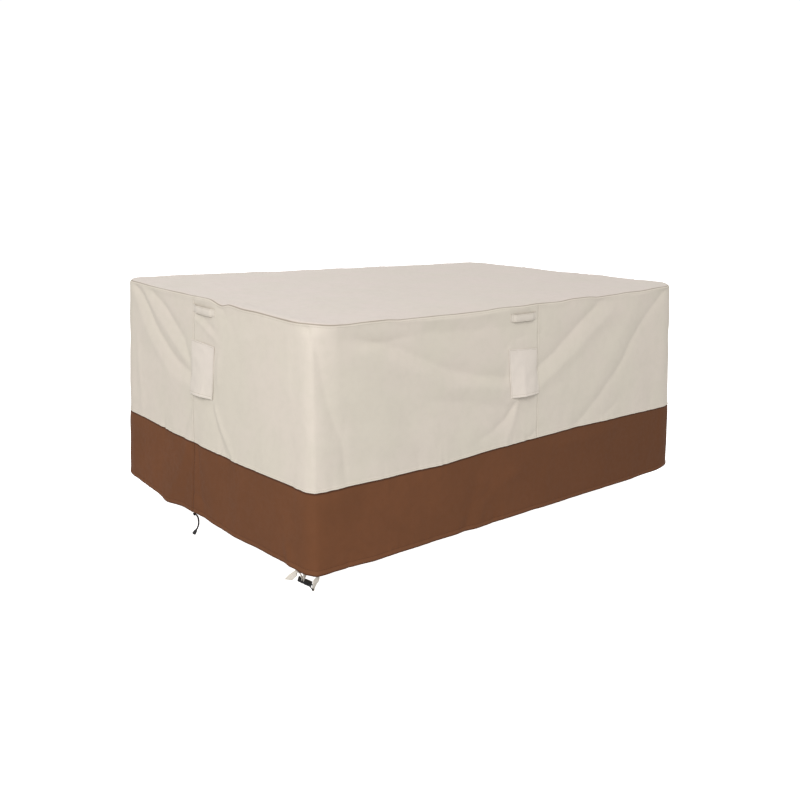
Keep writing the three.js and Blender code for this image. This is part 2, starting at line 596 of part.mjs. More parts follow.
// Socket of the buckle: a hollow body with side windows, and an angled frame that holds the short webbing.
const SOCKET = { from: 0.8, to: 23, cavity: 14, bevel: 2, inside: 10.7, mouth: 2.5 };
const SIDE_WINDOW = { from: 4, to: 12, half: 2.7 };
const FRAME = { back: 3, drop: 2, opening: 4, half: 11 };
function socket() {
  const y = BUCKLE.width / 2;
  const z = BUCKLE.thick / 2;
  const b = SOCKET.bevel;
  const section = new THREE.Shape([
    [-y + b, -z], [y - b, -z], [y, -z + b], [y, z - b], [y - b, z], [-y + b, z], [-y, z - b], [-y, -z + b],
  ].map(([u, v]) => new THREE.Vector2(v, u)));
  const body = new THREE.ExtrudeGeometry(section, { depth: SOCKET.to - SOCKET.from, bevelEnabled: false });
  body.rotateY(Math.PI / 2);
  body.translate(SOCKET.from, 0, 0);
  const inside = block(
    SOCKET.from - 1,
    SOCKET.from + SOCKET.cavity,
    -SOCKET.inside,
    SOCKET.inside,
    -SOCKET.mouth,
    SOCKET.mouth,
  );
  const windows = block(SIDE_WINDOW.from, SIDE_WINDOW.to, -y - 1, y + 1, -SIDE_WINDOW.half, SIDE_WINDOW.half);
  const start = SOCKET.to - FRAME.back;
  const lean = Math.atan2(-BAR.over - FRAME.drop, BAR.along - start);
  const reach = Math.hypot(BAR.along - start, BAR.over + FRAME.drop);
  const frame = block(-1, reach + BAR.radius, -y, y, -BAR.radius, BAR.radius);
  const opening = block(FRAME.opening, reach - BAR.radius, -FRAME.half, FRAME.half, -BAR.loop, BAR.loop);
  const placed = new THREE.Matrix4().makeRotationY(lean).setPosition(start, 0, -FRAME.drop);
  const leaning = solidOf(geometryFrom(frame.subtract(opening)).applyMatrix4(placed));
  const solid = solidOf(body).subtract(inside).subtract(windows).add(leaning);
  return geometryFrom(solid).applyMatrix4(buckleFrame);
}
add('buckle_socket', socket(), BLACK);

// Draw cord: out of the hem at the skirt's seam, past its knot, down to the cord end.
const CORD_ROUTE = table('across height', [
  [3.4, -716.2], [7.4, -719.4], [10.4, -724], [12.3, -730], [13.2, -737], [13.5, -744], [13, -751],
  [11.4, -758], [9, -765], [6, -771.2],
]);
const CORD_END = table('down radius', [[0, 2.6], [1.2, 3.6], [6, 4.4], [13, 5.2], [16, 4.8], [17.4, 3.4]]);
function cordPlace(row) {
  return new THREE.Vector3(CORD_FOOT.x, CORD_FOOT.y, row.height).addScaledVector(ACROSS, row.across);
}

function drawCord() {
  const path = new THREE.CatmullRomCurve3(CORD_ROUTE.map(cordPlace), false, 'centripetal');
  const section = new THREE.Shape(shares(CORD.sides).slice(0, CORD.sides).map((share) => new THREE.Vector2(
    CORD.radius * Math.cos(2 * Math.PI * share),
    CORD.radius * Math.sin(2 * Math.PI * share),
  )));
  return new THREE.ExtrudeGeometry(section, { steps: 10, bevelEnabled: false, extrudePath: path });
}
add('draw_cord', geometryFrom(solidOf(drawCord())), BLACK);

function cordKnot() {
  const knot = new THREE.SphereGeometry(CORD.knot, 8, 6);
  knot.scale(1.1, 1, 0.95);
  const place = cordPlace({ across: 0, height: hemLine(SKIRT_FROM) - GAP - CORD.knot });
  return knot.translate(place.x, place.y, place.z);
}
add('draw_cord_knot', geometryFrom(solidOf(cordKnot())), BLACK);

function cordEnd() {
  const profile = CORD_END.map((row) => new THREE.Vector2(row.radius, row.down));
  const points = [new THREE.Vector2(0, CORD_END[0].down), ...profile];
  points.push(new THREE.Vector2(0, CORD_END[CORD_END.length - 1].down));
  const bell = new THREE.LatheGeometry(points, 10);
  const last = cordPlace(CORD_ROUTE[CORD_ROUTE.length - 1]);
  const before = cordPlace(CORD_ROUTE[CORD_ROUTE.length - 2]);
  const way = last.clone().sub(before).normalize();
  bell.applyQuaternion(new THREE.Quaternion().setFromUnitVectors(new THREE.Vector3(0, 1, 0), way));
  const start = last.addScaledVector(way, GAP);
  return bell.translate(start.x, start.y, start.z);
}
add('draw_cord_end', geometryFrom(solidOf(cordEnd())), BLACK);

export default cover;
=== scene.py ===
"""Fitted cloth cover for a patio dining set: beige top and walls, brown skirt, hoods, handles, cord, strap.

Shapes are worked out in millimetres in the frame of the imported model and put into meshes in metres.
The front side faces -Y, the left side faces -X, and heights are below the rim of the top panel.
"""

import math

import bpy
import numpy as np
from mathutils import Matrix, Vector


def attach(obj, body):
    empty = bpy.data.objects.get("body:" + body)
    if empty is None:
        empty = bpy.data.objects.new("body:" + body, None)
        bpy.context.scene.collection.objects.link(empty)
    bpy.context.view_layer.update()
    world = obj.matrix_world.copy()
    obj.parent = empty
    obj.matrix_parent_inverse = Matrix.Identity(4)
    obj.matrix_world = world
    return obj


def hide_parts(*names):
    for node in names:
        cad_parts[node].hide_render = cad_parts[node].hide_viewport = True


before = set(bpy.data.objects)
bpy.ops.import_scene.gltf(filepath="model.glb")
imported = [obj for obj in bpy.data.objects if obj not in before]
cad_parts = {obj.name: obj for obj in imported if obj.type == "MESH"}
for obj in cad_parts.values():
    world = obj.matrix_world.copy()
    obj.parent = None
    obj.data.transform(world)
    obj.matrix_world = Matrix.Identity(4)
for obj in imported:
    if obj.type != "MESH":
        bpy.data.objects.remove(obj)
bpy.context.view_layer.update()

METRE = 0.001

# Size of the cover, as in the part's source.
LENGTH, WIDTH, DROP, CORNER = 1780.0, 1120.0, 711.0, 95.0
FLARE = {"front": 52.0, "right": 21.0, "back": 9.0, "left": 20.0}
SEAM_ALONG = {"front": 52.0, "right": -55.0, "back": -52.0, "left": 55.0}
CLOTH = 1.2
HEM_BAND = 18.0
ROLL = 9.0

# How far each corner stands out at the hem, and the share of it that comes within a short way of the rim.
CORNER_PUSH = {"front": {"left": 24.0, "right": 13.0}, "back": {"left": 6.0, "right": 16.0}}
CORNER_EARLY = {"front": {"left": 0.2, "right": 0.0}, "back": {"left": 0.0, "right": 0.0}}
EARLY_WITHIN = 75.0

# A pulled crest down the near corner: its push, how steeply it falls, its drift to the front at the hem,
# and the depth at which it is whole.
CREST = {"front": {"left": 10.5, "right": 0.0}, "back": {"left": 0.0, "right": 0.0}}
CREST_FALL, CREST_DRIFT, CREST_WITHIN = 3.0, 0.13, 30.0

HOOD = {"width": 141.0, "drop": 168.0, "top": -138.0, "draw": 0.02}
HOOD_HEM = 10.0
HOOD_MIDDLE = {"front": -24.0, "right": 1.0, "back": 25.0, "left": -1.0}
HOOD_LEAN = {"front": 11.0, "right": 4.0, "back": -6.0, "left": -7.0}
# Heights of each hood's top and foot at its first and last side, how far its mouth stands off, and its dip.
HOOD_ENDS = {
    "front": (-140, -150, -305, -306), "right": (-138, -140, -306, -308),
    "back": (-139, -136, -307, -304), "left": (-127, -132, -309, -302),
}
HOOD_STAND = {"front": 18.0, "right": 20.0, "back": 21.0, "left": 14.0}
HOOD_DIP = {"front": -3.0, "right": 1.0, "back": 2.0, "left": -4.0}
HANDLE = {"length": 128.0, "height": 25.0, "stand": 6.5, "cloth": 1.6, "sag": 2.0, "dome": 1.2}
HANDLE_TOP = {"front": -26.0, "right": -14.0, "back": -18.0, "left": -13.0}
HANDLE_MIDDLE = {"front": -25.0, "right": 8.0, "back": 25.0, "left": -8.0}
SEWN_TO = {
    "front": ["wall_front_left"], "right": ["wall_back_right", "wall_front_right"],
    "back": ["wall_back_right"], "left": ["wall_front_left", "wall_back_left"],
}

# Gap between a sewn piece and what carries it.
GAP = 0.3

# Heights of the three lines that run round the cover: for each side, places along it and heights.
RIM = {
    "front": [
        (-800, 2), (-760, 0.5), (-700, 1.5), (-620, 1), (-560, -3), (-420, -4), (-330, -5.5), (-210, -5.5),
        (-134, -2.5), (-20, -4), (40, -2), (160, -4), (240, 1), (320, 1), (380, -3), (470, -1.5),
        (560, 1.5), (630, 1), (780, 7),
    ],
    "right": [
        (-500, 10), (-440, 8), (-326, 5), (-207, 3), (-83, 0), (20, -4.5), (250, -7), (400, -12),
        (540, -15),
    ],
    "back": [
        (760, -16), (600, -16), (400, -12), (200, -8.5), (0, -5), (-200, -3), (-400, 1.3), (-560, 4),
        (-800, 7.5),
    ],
    "left": [
        (480, 9), (300, 7), (110, 9.5), (-30, 12.5), (-107, 1.5), (-150, 9.5), (-230, 6.5), (-300, 8),
        (-440, 6.5), (-520, 6.5),
    ],
}
COLOUR_SEAM = {
    "front": [
        (-790, -462), (-550, -465), (-410, -468), (-115, -460), (220, -457), (610, -461), (770, -464),
    ],
    "right": [(-300, -459), (80, -466), (400, -461)],
    "back": [(600, -465), (100, -459), (-400, -466), (-760, -461)],
    "left": [(440, -457), (170, -466), (-180, -469), (-470, -463)],
}
HEM = {
    "front": [
        (-760, -707), (-640, -712), (-410, -713), (-110, -714.5), (230, -718), (620, -720.5), (760, -719),
    ],
    "right": [(-420, -708), (-100, -712), (200, -707), (430, -711)],
    "back": [(700, -708), (300, -714), (-150, -707), (-520, -713), (-780, -704)],
    "left": [
        (470, -702), (350, -710), (224, -722), (110, -713), (10, -710), (-180, -716), (-360, -709.5),
        (-470, -707), (-545, -705.5),
    ],
}

# How far round the rolled edge the rim's seam lies, in degrees from the top.
SEAM_LEAN = {
    "front": [(-800, 62), (-690, 52), (-560, 40), (-300, 34), (0, 38), (300, 46), (700, 42)],
    "right": [(-300, 50), (200, 36)],
    "back": [(600, 48), (0, 38), (-700, 50)],
    "left": [(520, 48), (400, 38), (100, 34), (-50, 38), (-110, 58), (-300, 68), (-500, 66)],
}

# Folds of each side: width at the start and the end, push out at the start and the end (a trough is below
# zero), and the path as places along the side and heights.
FOLDS = {
    "front": [
        (12, 28, -7, -7, [(-880, -14), (-861, -84), (-832, -221), (-793, -320), (-784, -400)]),
        (45, 45, 4, 5, [(-790, -100), (-700, -230), (-600, -330)]),
        (20, 30, -7, -10, [(-715, -45), (-569, -88), (-405, -160), (-231, -215), (-95, -238)]),
        (36, 30, 4.5, 7, [(-690, -95), (-560, -140), (-365, -222), (-95, -274)]),
        (18, 18, 4, 3, [(-440, -18), (-290, -22), (-120, -24)]),
        (22, 24, -3.5, -3, [(-448, -50), (-280, -62), (-110, -68)]),
        (26, 30, -3, -5, [(-450, -258), (-280, -290), (-110, -325)]),
        (10, 15, -5.5, -2.5, [(-66, -330), (-108, -370), (-156, -396), (-215, -414)]),
        (13, 18, 5.5, 2.5, [(-50, -320), (-80, -400), (-102, -438)]),
        (18, 20, -7, -6.5, [(365, -38), (222, -127), (128, -176), (62, -216)]),
        (28, 24, 5, 5, [(430, -75), (262, -172), (140, -240), (75, -278)]),
        (17, 24, -6, -6, [(792, -12), (640, -125), (488, -297), (335, -407), (272, -440)]),
        (50, 50, 4.5, 4, [(620, -30), (510, -170), (390, -320)]),
        (22, 22, -4.5, -4.5, [(-180, -600), (-268, -630), (-290, -690)]),
        (24, 26, 4.5, 4.5, [(-60, -560), (-140, -585), (-215, -620), (-235, -690)]),
        (26, 28, 4, 4, [(178, -507), (330, -512), (470, -500)]),
        (28, 28, -4, -4, [(-735, -500), (-687, -580), (-610, -635)]),
        (26, 22, 6, 7, [(868, -30), (868, -712)]),
    ],
    "right": [
        (26, 30, -8, -8, [(400, -30), (180, -200), (95, -250)]),
        (24, 28, 6, 5, [(-90, -330), (-250, -430)]),
        (28, 34, -7, -6, [(-420, -40), (-300, -260), (-250, -420)]),
        (34, 38, 5, 5, [(320, -300), (390, -460)]),
        (30, 36, -5, -6, [(-200, -520), (-320, -690)]),
        (26, 22, 6, 7, [(540, -30), (540, -705)]),
    ],
    "back": [
        (26, 36, -8, -7, [(640, -30), (430, -190), (180, -330)]),
        (30, 36, -8, -6, [(-110, -260), (-430, -120), (-700, -40)]),
        (38, 38, 5, 5, [(-200, -330), (-480, -230), (-620, -160)]),
        (26, 36, -7, -7, [(-760, -30), (-610, -330), (-560, -440)]),
        (34, 40, 6, 6, [(300, -520), (520, -690)]),
        (34, 38, -6, -6, [(-420, -540), (-260, -700)]),
        (26, 22, 5, 6, [(-868, -30), (-868, -705)]),
    ],
    "left": [
        (13, 22, -7, -7, [(437, -10), (400, -30), (285, -133), (216, -184), (155, -218), (80, -242)]),
        (11, 18, -6, -6, [(320, -15), (236, -60), (168, -104), (118, -140), (84, -190)]),
        (18, 18, 4, 3.5, [(385, -14), (305, -74), (215, -128), (122, -192)]),
        (26, 30, 4.5, 4, [(455, -30), (398, -108), (330, -175), (280, -212), (215, -268), (95, -282)]),
        (16, 20, 2.5, 3.5, [(436, -180), (421, -290), (409, -410)]),
        (26, 30, 3.5, 3.5, [(-110, -180), (-230, -95), (-320, -45)]),
        (12, 14, 5.5, 4, [(-82, -335), (-115, -390), (-175, -450)]),
        (18, 20, -4, -4, [(64, -345), (89, -404), (104, -440)]),
        (30, 34, -3.5, -4, [(-478, -60), (-474, -460)]),
        (22, 28, 6, 8, [(100, -510), (155, -620), (224, -719)]),
        (20, 24, -4, -5, [(68, -530), (120, -660)]),
        (20, 18, 3, 5, [(-530, -8), (-528, -191), (-530, -413), (-536, -712)]),
    ],
}

# Small creases of the same form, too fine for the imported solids.
SMALL_CREASES = {
    "front": [
        (10, 10, -2, -2, [(-94, -125), (-40, -107)]),
        (10, 10, -2, -2, [(10, -136), (61, -107)]),
        (10, 10, -2.5, -2.5, [(497, -405), (436, -430)]),
        (9, 9, -3, -3, [(40, -438), (14, -456)]),
        (10, 12, -3, -2, [(-700, -62), (-620, -63), (-540, -58)]),
        (20, 22, 3, 2, [(80, -400), (110, -425)]),
        (9, 10, 3, 3, [(-766, -699), (-694, -702)]),
        (6, 6, -3.5, -3.5, [(-776, -688), (-773, -706)]),
    ],
    "left": [
        (12, 14, -2.5, -1.5, [(-107, 0), (-135, -25), (-185, -12)]),
        (12, 14, -3.5, -3, [(-66, -335), (-92, -395), (-130, -452)]),
        (10, 10, 2.5, 2.5, [(38, -62), (-62, -104)]),
        (10, 10, -2.5, -2.5, [(17, -44), (-56, -74)]),
        (9, 9, 2.5, 2.5, [(-96, -170), (-96, -232)]),
        (16, 16, 1, 1.5, [(-455, -84), (-470, -180), (-490, -311)]),
        (12, 14, 3, 2.5, [(40, -325), (58, -365), (76, -404)]),
        (12, 12, -3, -2.5, [(42, -640), (-22, -663)]),
        (8, 8, 5, 4, [(-476, -662), (-487, -700)]),
        (9, 10, 3.5, 3.5, [(-492, -697), (-524, -703)]),
        (5, 6, -3.5, -3.5, [(-533, -686), (-534, -710)]),
        (16, 18, -5, -4, [(28, -500), (24, -580), (-6, -690)]),
    ],
}

LONG_RUN, SHORT_RUN = LENGTH - 2 * CORNER, WIDTH - 2 * CORNER
ARC = math.pi / 2 * CORNER
SIDE_NAMES = ["front", "right", "back", "left"]
SIDE_RUN = np.array([LONG_RUN, SHORT_RUN, LONG_RUN, SHORT_RUN])
SIDE_X = np.array([-LONG_RUN / 2, LENGTH / 2, LONG_RUN / 2, -LENGTH / 2])
SIDE_Y = np.array([-WIDTH / 2, -SHORT_RUN / 2, WIDTH / 2, SHORT_RUN / 2])
WAY_X = np.array([1.0, 0.0, -1.0, 0.0])
WAY_Y = np.array([0.0, 1.0, 0.0, -1.0])
SIDE_START = np.concatenate([[0.0], np.cumsum(SIDE_RUN + ARC)[:-1]])
AROUND = float(np.sum(SIDE_RUN + ARC))


def all_rows(table):
    """Every row of a table by side, with its side first."""
    return [(side, *row) for side, rows in table.items() for row in rows]


def ease(low, high, value):
    """0 below low, 1 above high, and 3t^2 - 2t^3 between them."""
    t = np.clip((value - low) / (high - low), 0.0, 1.0)
    return t * t * (3 - 2 * t)


def station(side, along):
    """Distance round the outline of a place on a side: the side's start plus the way walked along it."""
    k = SIDE_NAMES.index(side)
    origin, way = (SIDE_X[k], WAY_X[k]) if WAY_X[k] else (SIDE_Y[k], WAY_Y[k])
    return SIDE_START[k] + (along - origin) * way


def outline(s):
    """Point and outward direction of the plan outline: straight runs, each followed by a quarter circle."""
    s = np.mod(s, AROUND)
    k = np.searchsorted(SIDE_START, s, side="right") - 1
    on_run = np.minimum(s - SIDE_START[k], SIDE_RUN[k])
    turn = np.maximum(0.0, s - SIDE_START[k] - SIDE_RUN[k]) / CORNER
    out_x = WAY_Y[k] * np.cos(turn) + WAY_X[k] * np.sin(turn)
    out_y = -WAY_X[k] * np.cos(turn) + WAY_Y[k] * np.sin(turn)
    x = SIDE_X[k] + WAY_X[k] * on_run + CORNER * (out_x - WAY_Y[k])
    y = SIDE_Y[k] + WAY_Y[k] * on_run + CORNER * (out_y + WAY_X[k])
    return x, y, out_x, out_y


def line_of(table):
    """Height of a line round the cover: eased from each named place to the next, joined end to end."""
    knots = sorted((station(side, along) % AROUND, height) for side, along, height in all_rows(table))
    at = np.array([knots[-1][0] - AROUND] + [k[0] for k in knots] + [knots[0][0] + AROUND])
    height = np.array([knots[-1][1]] + [k[1] for k in knots] + [knots[0][1]], dtype=float)

    def line(s):
        s = np.mod(s, AROUND)
        k = np.clip(np.searchsorted(at, s, side="right") - 1, 0, len(at) - 2)
        return height[k] + (height[k + 1] - height[k]) * ease(at[k], at[k + 1], s)

    return line


rim_line, seam_line, hem_line, seam_degrees = (line_of(table) for table in (RIM, COLOUR_SEAM, HEM, SEAM_LEAN))


def throw(seed, shortest, longest, count):
    """Random waves: their turning for each millimetre, with an even spread of log length, angle and phase."""
    dice = np.random.default_rng(seed)
    size = 2 * math.pi / np.exp(dice.uniform(math.log(shortest), math.log(longest), count))
    angle = dice.uniform(0, 2 * math.pi, count)
    return size, angle, dice.uniform(0, 2 * math.pi, count)


def waves(u, v, seed, shortest, longest, count=24):
    """Sum of cosines of random direction, length and phase, scaled to about 1: endless unevenness."""
    total = np.zeros(np.broadcast(u, v).shape)
    for size, angle, phase in zip(*throw(seed, shortest, longest, count)):
        total += np.cos(size * (np.cos(angle) * u + np.sin(angle) * v) + phase)
    return total * math.sqrt(2 / count)


def waves_round(s, z, seed, shortest, longest, count=20, upright=0.0):
    """As waves, in the distance round the cover and the height, with whole turns round the cover.
    upright is the share of the turning towards level crests that is left out: 1 gives upright crests."""
    total = np.zeros(np.broadcast(s, z).shape)
    for size, angle, phase in zip(*throw(seed, shortest, longest, count)):
        level = (1 - upright) * np.sin(angle)
        turns = np.round(size * np.sqrt(1 - level**2) * np.sign(np.cos(angle)) * AROUND / (2 * math.pi))
        total += np.cos(2 * math.pi * turns / AROUND * s + size * level * z + phase)
    return total * math.sqrt(2 / count)


# Past its end a fold fades over 1 / PAST_END of its width. The bottom of a trough is sharper than the crest
# of a ridge, and the paths stray a little from their straight legs.
PAST_END = 0.45
ROUND_TROUGH, ROUND_RIDGE, RIDGE_NARROW = 0.25, 0.9, 1.4
STRAY, STRAY_WAVES = 2.5, (90, 260, 8)


def fold_push(s, z):
    """Push of all folds. Each is its push times exp(r - sqrt((d / width)^2 + r^2)): d is the distance from
    its path, and r rounds its middle."""
    push = np.zeros(np.broadcast(s, z).shape)
    level = z + STRAY * waves_round(s, z, 62, *STRAY_WAVES)
    s = s + STRAY * waves_round(s, z, 61, *STRAY_WAVES)
    for side, width, end_width, height, end_height, path in all_rows(FOLDS) + all_rows(SMALL_CREASES):
        places = np.array([(station(side, along), down) for along, down in path], dtype=float)
        middle = (places[0, 0] + places[-1, 0]) / 2
        at = s - AROUND * np.round((s - middle) / AROUND)
        nearest, reached = np.full(push.shape, np.inf), np.zeros(push.shape)
        for k, (start, leg) in enumerate(zip(places[:-1], np.diff(places, axis=0))):
            size = math.hypot(*leg)
            along, down = leg / size
            run = (at - start[0]) * along + (level - start[1]) * down
            aside = (at - start[0]) * down - (level - start[1]) * along
            share = np.clip(run / size, 0, 1)
            away = np.hypot(aside, PAST_END * (run - share * size))
            closer = away < nearest
            reached = np.where(closer, (k + share) / (len(places) - 1), reached)
            nearest = np.where(closer, away, nearest)
        rounded, narrow = (ROUND_TROUGH, 1.0) if height < 0 else (ROUND_RIDGE, RIDGE_NARROW)
        wide = (width + (end_width - width) * reached) / narrow
        fade = np.hypot(nearest / wide, rounded) - rounded
        push += (height + (end_height - height) * reached) * np.exp(-fade)
    return push


# Where the cloth lies flatter: under the rim, behind each hood, and just above and below it.
CALM = {"rim": 14.0, "hood in": 18.0, "hood out": 14.0, "above": 14.0, "below": 24.0}


def fold_share(s, z):
    """Share of the folds that is left: none at the rim and under the hoods, all of it elsewhere."""
    share = ease(0, CALM["rim"], rim_line(s) - z)
    edge, foot = HOOD["width"] / 2, HOOD["drop"] - HOOD["top"]
    top = -HOOD["top"] - CALM["above"]
    clear = np.maximum(ease(top, top - CALM["below"], -z), ease(foot, foot + CALM["below"], -z))
    for side in SIDE_NAMES:
        ahead = np.mod(s - station(side, HOOD_MIDDLE[side]), AROUND)
        across = np.minimum(ahead, AROUND - ahead)
        beside = ease(edge - CALM["hood in"], edge + CALM["hood out"], across)
        share = share * np.maximum(beside, clear)
    return share


def by_corner(values, out_x, out_y):
    """The value of the corner that an outward direction belongs to."""
    front = np.where(out_x > 0, values["front"]["right"], values["front"]["left"])
    back = np.where(out_x > 0, values["back"]["right"], values["back"]["left"])
    return np.where(out_y > 0, back, front)


def unevenness(s, z):
    """Slight swells all over the cloth: wide ones, and long soft upright ones towards the hem."""
    upright = 0.5 * waves_round(s, z, 14, 60, 260, 20, 0.75) * ease(60, 500, -z)
    return 0.7 * waves_round(s, z, 13, 110, 420) + upright


def hang(s, z, out):
    """Point of the hanging cloth: the outline, spread by its side's flare times depth, plus folds and out.
    At a corner it is pushed out further by (2 |x y|)^3 of the outward direction, more with depth; at the
    near corner part of that comes early, with a crest of (1 - ||x| - |y| + drift|)^3 on top of it."""
    x, y, out_x, out_y = outline(s)
    depth = np.maximum(0.0, -z) / DROP
    corner = by_corner(CORNER_PUSH, out_x, out_y) * (2 * np.abs(out_x * out_y)) ** 3
    early = by_corner(CORNER_EARLY, out_x, out_y) * ease(0, EARLY_WITHIN, -z) * (1 - depth)
    aside = np.minimum(1.0, np.abs(np.abs(out_x) - np.abs(out_y) + CREST_DRIFT * depth))
    crest = by_corner(CREST, out_x, out_y) * (1 - aside) ** CREST_FALL * ease(0, CREST_WITHIN, -z)
    push = fold_push(s, z) * fold_share(s, z) + corner * (depth + early) + crest + out
    spread_x = np.where(out_x > 0, FLARE["right"], FLARE["left"]) * depth
    spread_y = np.where(out_y > 0, FLARE["back"], FLARE["front"]) * depth
    return np.stack([x + out_x * (spread_x + push), y + out_y * (spread_y + push), z + 0 * x], axis=-1)


def with_ends(start, middle, stop, fine):
    """Places from start to stop: the fine ones at both ends, and the middle ones between them."""
    ends = np.array(fine[:-1])
    return np.concatenate([[start], start + ends, middle, (stop - ends)[::-1], [stop]])


# Fine places at both ends of a cloth, and the distance from its end at which the even steps begin.
FINE = (0.6, 1.6, 3.4)


def spaced(start, stop, step, fine=FINE):
    """Places from start to stop: even steps, with the fine ones added at both ends."""
    first, last = start + fine[-1], stop - fine[-1]
    middle = np.linspace(first, last, max(2, int(round((last - first) / step)) + 1))
    return with_ends(start, middle, stop, fine)


# Samples of the outline, and how far its outward direction leans to the front or left where it is seen.
SAMPLES, TOWARDS_CAMERA = 6000, -0.05


def spaced_round(start, stop, close, wide):
    """As spaced, along the outline: steps of close on the front and left sides and of wide on the others."""
    many = np.linspace(start + FINE[-1], stop - FINE[-1], SAMPLES)
    _, _, out_x, out_y = outline(many)
    density = np.where(np.minimum(out_x, out_y) < TOWARDS_CAMERA, 1 / close, 1 / wide)
    steps = np.cumsum(density) * (many[1] - many[0])
    middle = np.interp(np.linspace(steps[0], steps[-1], int(round(steps[-1])) + 1), steps, many)
    return with_ends(start, middle, stop, FINE)


def unit(vectors):
    """Vectors of the same directions, 1 long."""
    return vectors / np.linalg.norm(vectors, axis=-1, keepdims=True)


def walked(path):
    """Distance along a path at each of its points."""
    return np.concatenate([[0.0], np.cumsum(np.linalg.norm(np.diff(path, axis=0), axis=1))])


# Distances from the seams that a cloth's points carry, which place its stitches and shades.
FACTS = ("from_top", "from_foot", "from_end")


def surface(name, node, points, along, down, facts=(), cloth=CLOTH, closed=False):
    """Put a grid of points (columns by rows) into a mesh whose faces point out, with its UV map in metres,
    in the place of a node. Solidify then gives the cloth its thickness inwards."""
    columns, rows = points.shape[:2]
    index = np.arange(columns * rows).reshape(columns, rows)
    here = np.concatenate([index, index[:1]]) if closed else index
    quads = np.stack([here[:-1, :-1], here[:-1, 1:], here[1:, 1:], here[1:, :-1]], axis=-1).reshape(-1, 4)
    mesh = bpy.data.meshes.new(name)
    mesh.vertices.add(columns * rows)
    mesh.vertices.foreach_set("co", (points * METRE).ravel())
    mesh.loops.add(quads.size)
    mesh.loops.foreach_set("vertex_index", quads.ravel().astype(np.int32))
    mesh.polygons.add(len(quads))
    mesh.polygons.foreach_set("loop_start", np.arange(0, quads.size, 4, dtype=np.int32))
    mesh.update(calc_edges=True)
    mesh.validate()
    mesh.polygons.foreach_set("use_smooth", np.ones(len(quads), dtype=bool))
    flat = np.stack(np.broadcast_arrays(along, down), axis=-1).reshape(-1, 2) * METRE
    mesh.uv_layers.new(name="cloth").data.foreach_set("uv", flat[quads.ravel()].ravel())
    for fact, values in zip(FACTS, facts):
        layer = mesh.attributes.new(fact, "FLOAT", "POINT")
        layer.data.foreach_set("value", (np.broadcast_to(values, (columns, rows)) * METRE).ravel())
    piece = bpy.data.objects.new(name, mesh)
    bpy.context.scene.collection.objects.link(piece)
    if cloth:
        solid = piece.modifiers.new("thickness", "SOLIDIFY")
        solid.thickness = cloth * METRE
        solid.offset = -1
    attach(piece, "root")
    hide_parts(node)
    return piece


# Camera, at the angle from which the photograph was taken.
VIEW = {"azimuth": -42.219, "height": 14.350, "roll": 1.971, "right": -0.039, "up": -0.087, "away": 3.617}
LENS, FILM = 42.69, 36.0


def camera():
    """Stand away from the middle of the cover along the view, shifted right and up, and rolled a little."""
    azimuth, height, roll = (math.radians(VIEW[k]) for k in ("azimuth", "height", "roll"))
    level = math.cos(height)
    back = Vector((math.sin(azimuth) * level, -math.cos(azimuth) * level, math.sin(height)))
    flat = (-back).cross(Vector((0, 0, 1))).normalized()
    upright = flat.cross(-back)
    right = flat * math.cos(roll) + upright * math.sin(roll)
    up = upright * math.cos(roll) - flat * math.sin(roll)
    data = bpy.data.cameras.new("camera")
    data.lens, data.sensor_width = LENS, FILM
    eye = bpy.data.objects.new("camera", data)
    middle = Vector((0, 0, -DROP / 2 * METRE))
    place = middle + back * VIEW["away"] + right * VIEW["right"] + up * VIEW["up"]
    eye.matrix_world = Matrix.Translation(place) @ Matrix((right, up, back)).transposed().to_4x4()
    bpy.context.scene.collection.objects.link(eye)
    bpy.context.scene.camera = eye


camera()

# Frame of the corner strap and the cord: across the cut corner, deep under the cover, and up.
CUT = (0.746, -0.666)
ACROSS = np.array([*CUT, 0.0]) / math.hypot(*CUT)
DEEP = np.array([-ACROSS[1], ACROSS[0], 0.0])
UP = np.array([0.0, 0.0, 1.0])
STRAP_FOOT = np.array([-885.0, -585.0, 0.0])
CORD_FOOT = np.array([-907.0, 50.0, 0.0])
CORD_RADIUS, CORD_POINTS = 2.8, 60
CORD_ROUTE = np.array([
    (3.4, -716.2), (7.4, -719.4), (10.4, -724), (12.3, -730), (13.2, -737), (13.5, -744), (13, -751),
    (11.2, -758), (8.3, -765), (4.9, -771),
])
KNOT = {"below": 3.5, "size": 1.35, "deep": 1.4, "radius": 1.8}
CAP_STEPS, CAP_LONG = 5, 0.6


def spline(points, count):
    """Catmull-Rom curve through the points, as count even steps of its parameter."""
    padded = np.concatenate([[2 * points[0] - points[1]], points, [2 * points[-1] - points[-2]]])
    at = np.linspace(0, len(points) - 1, count)
    k = np.minimum(at.astype(int), len(points) - 2)
    t = (at - k)[:, None]
    a, b, c, d = padded[k], padded[k + 1], padded[k + 2], padded[k + 3]
    return 0.5 * (2 * b + (c - a) * t + (2 * a - 5 * b + 4 * c - d) * t**2 + (3 * b - a - 3 * c + d) * t**3)


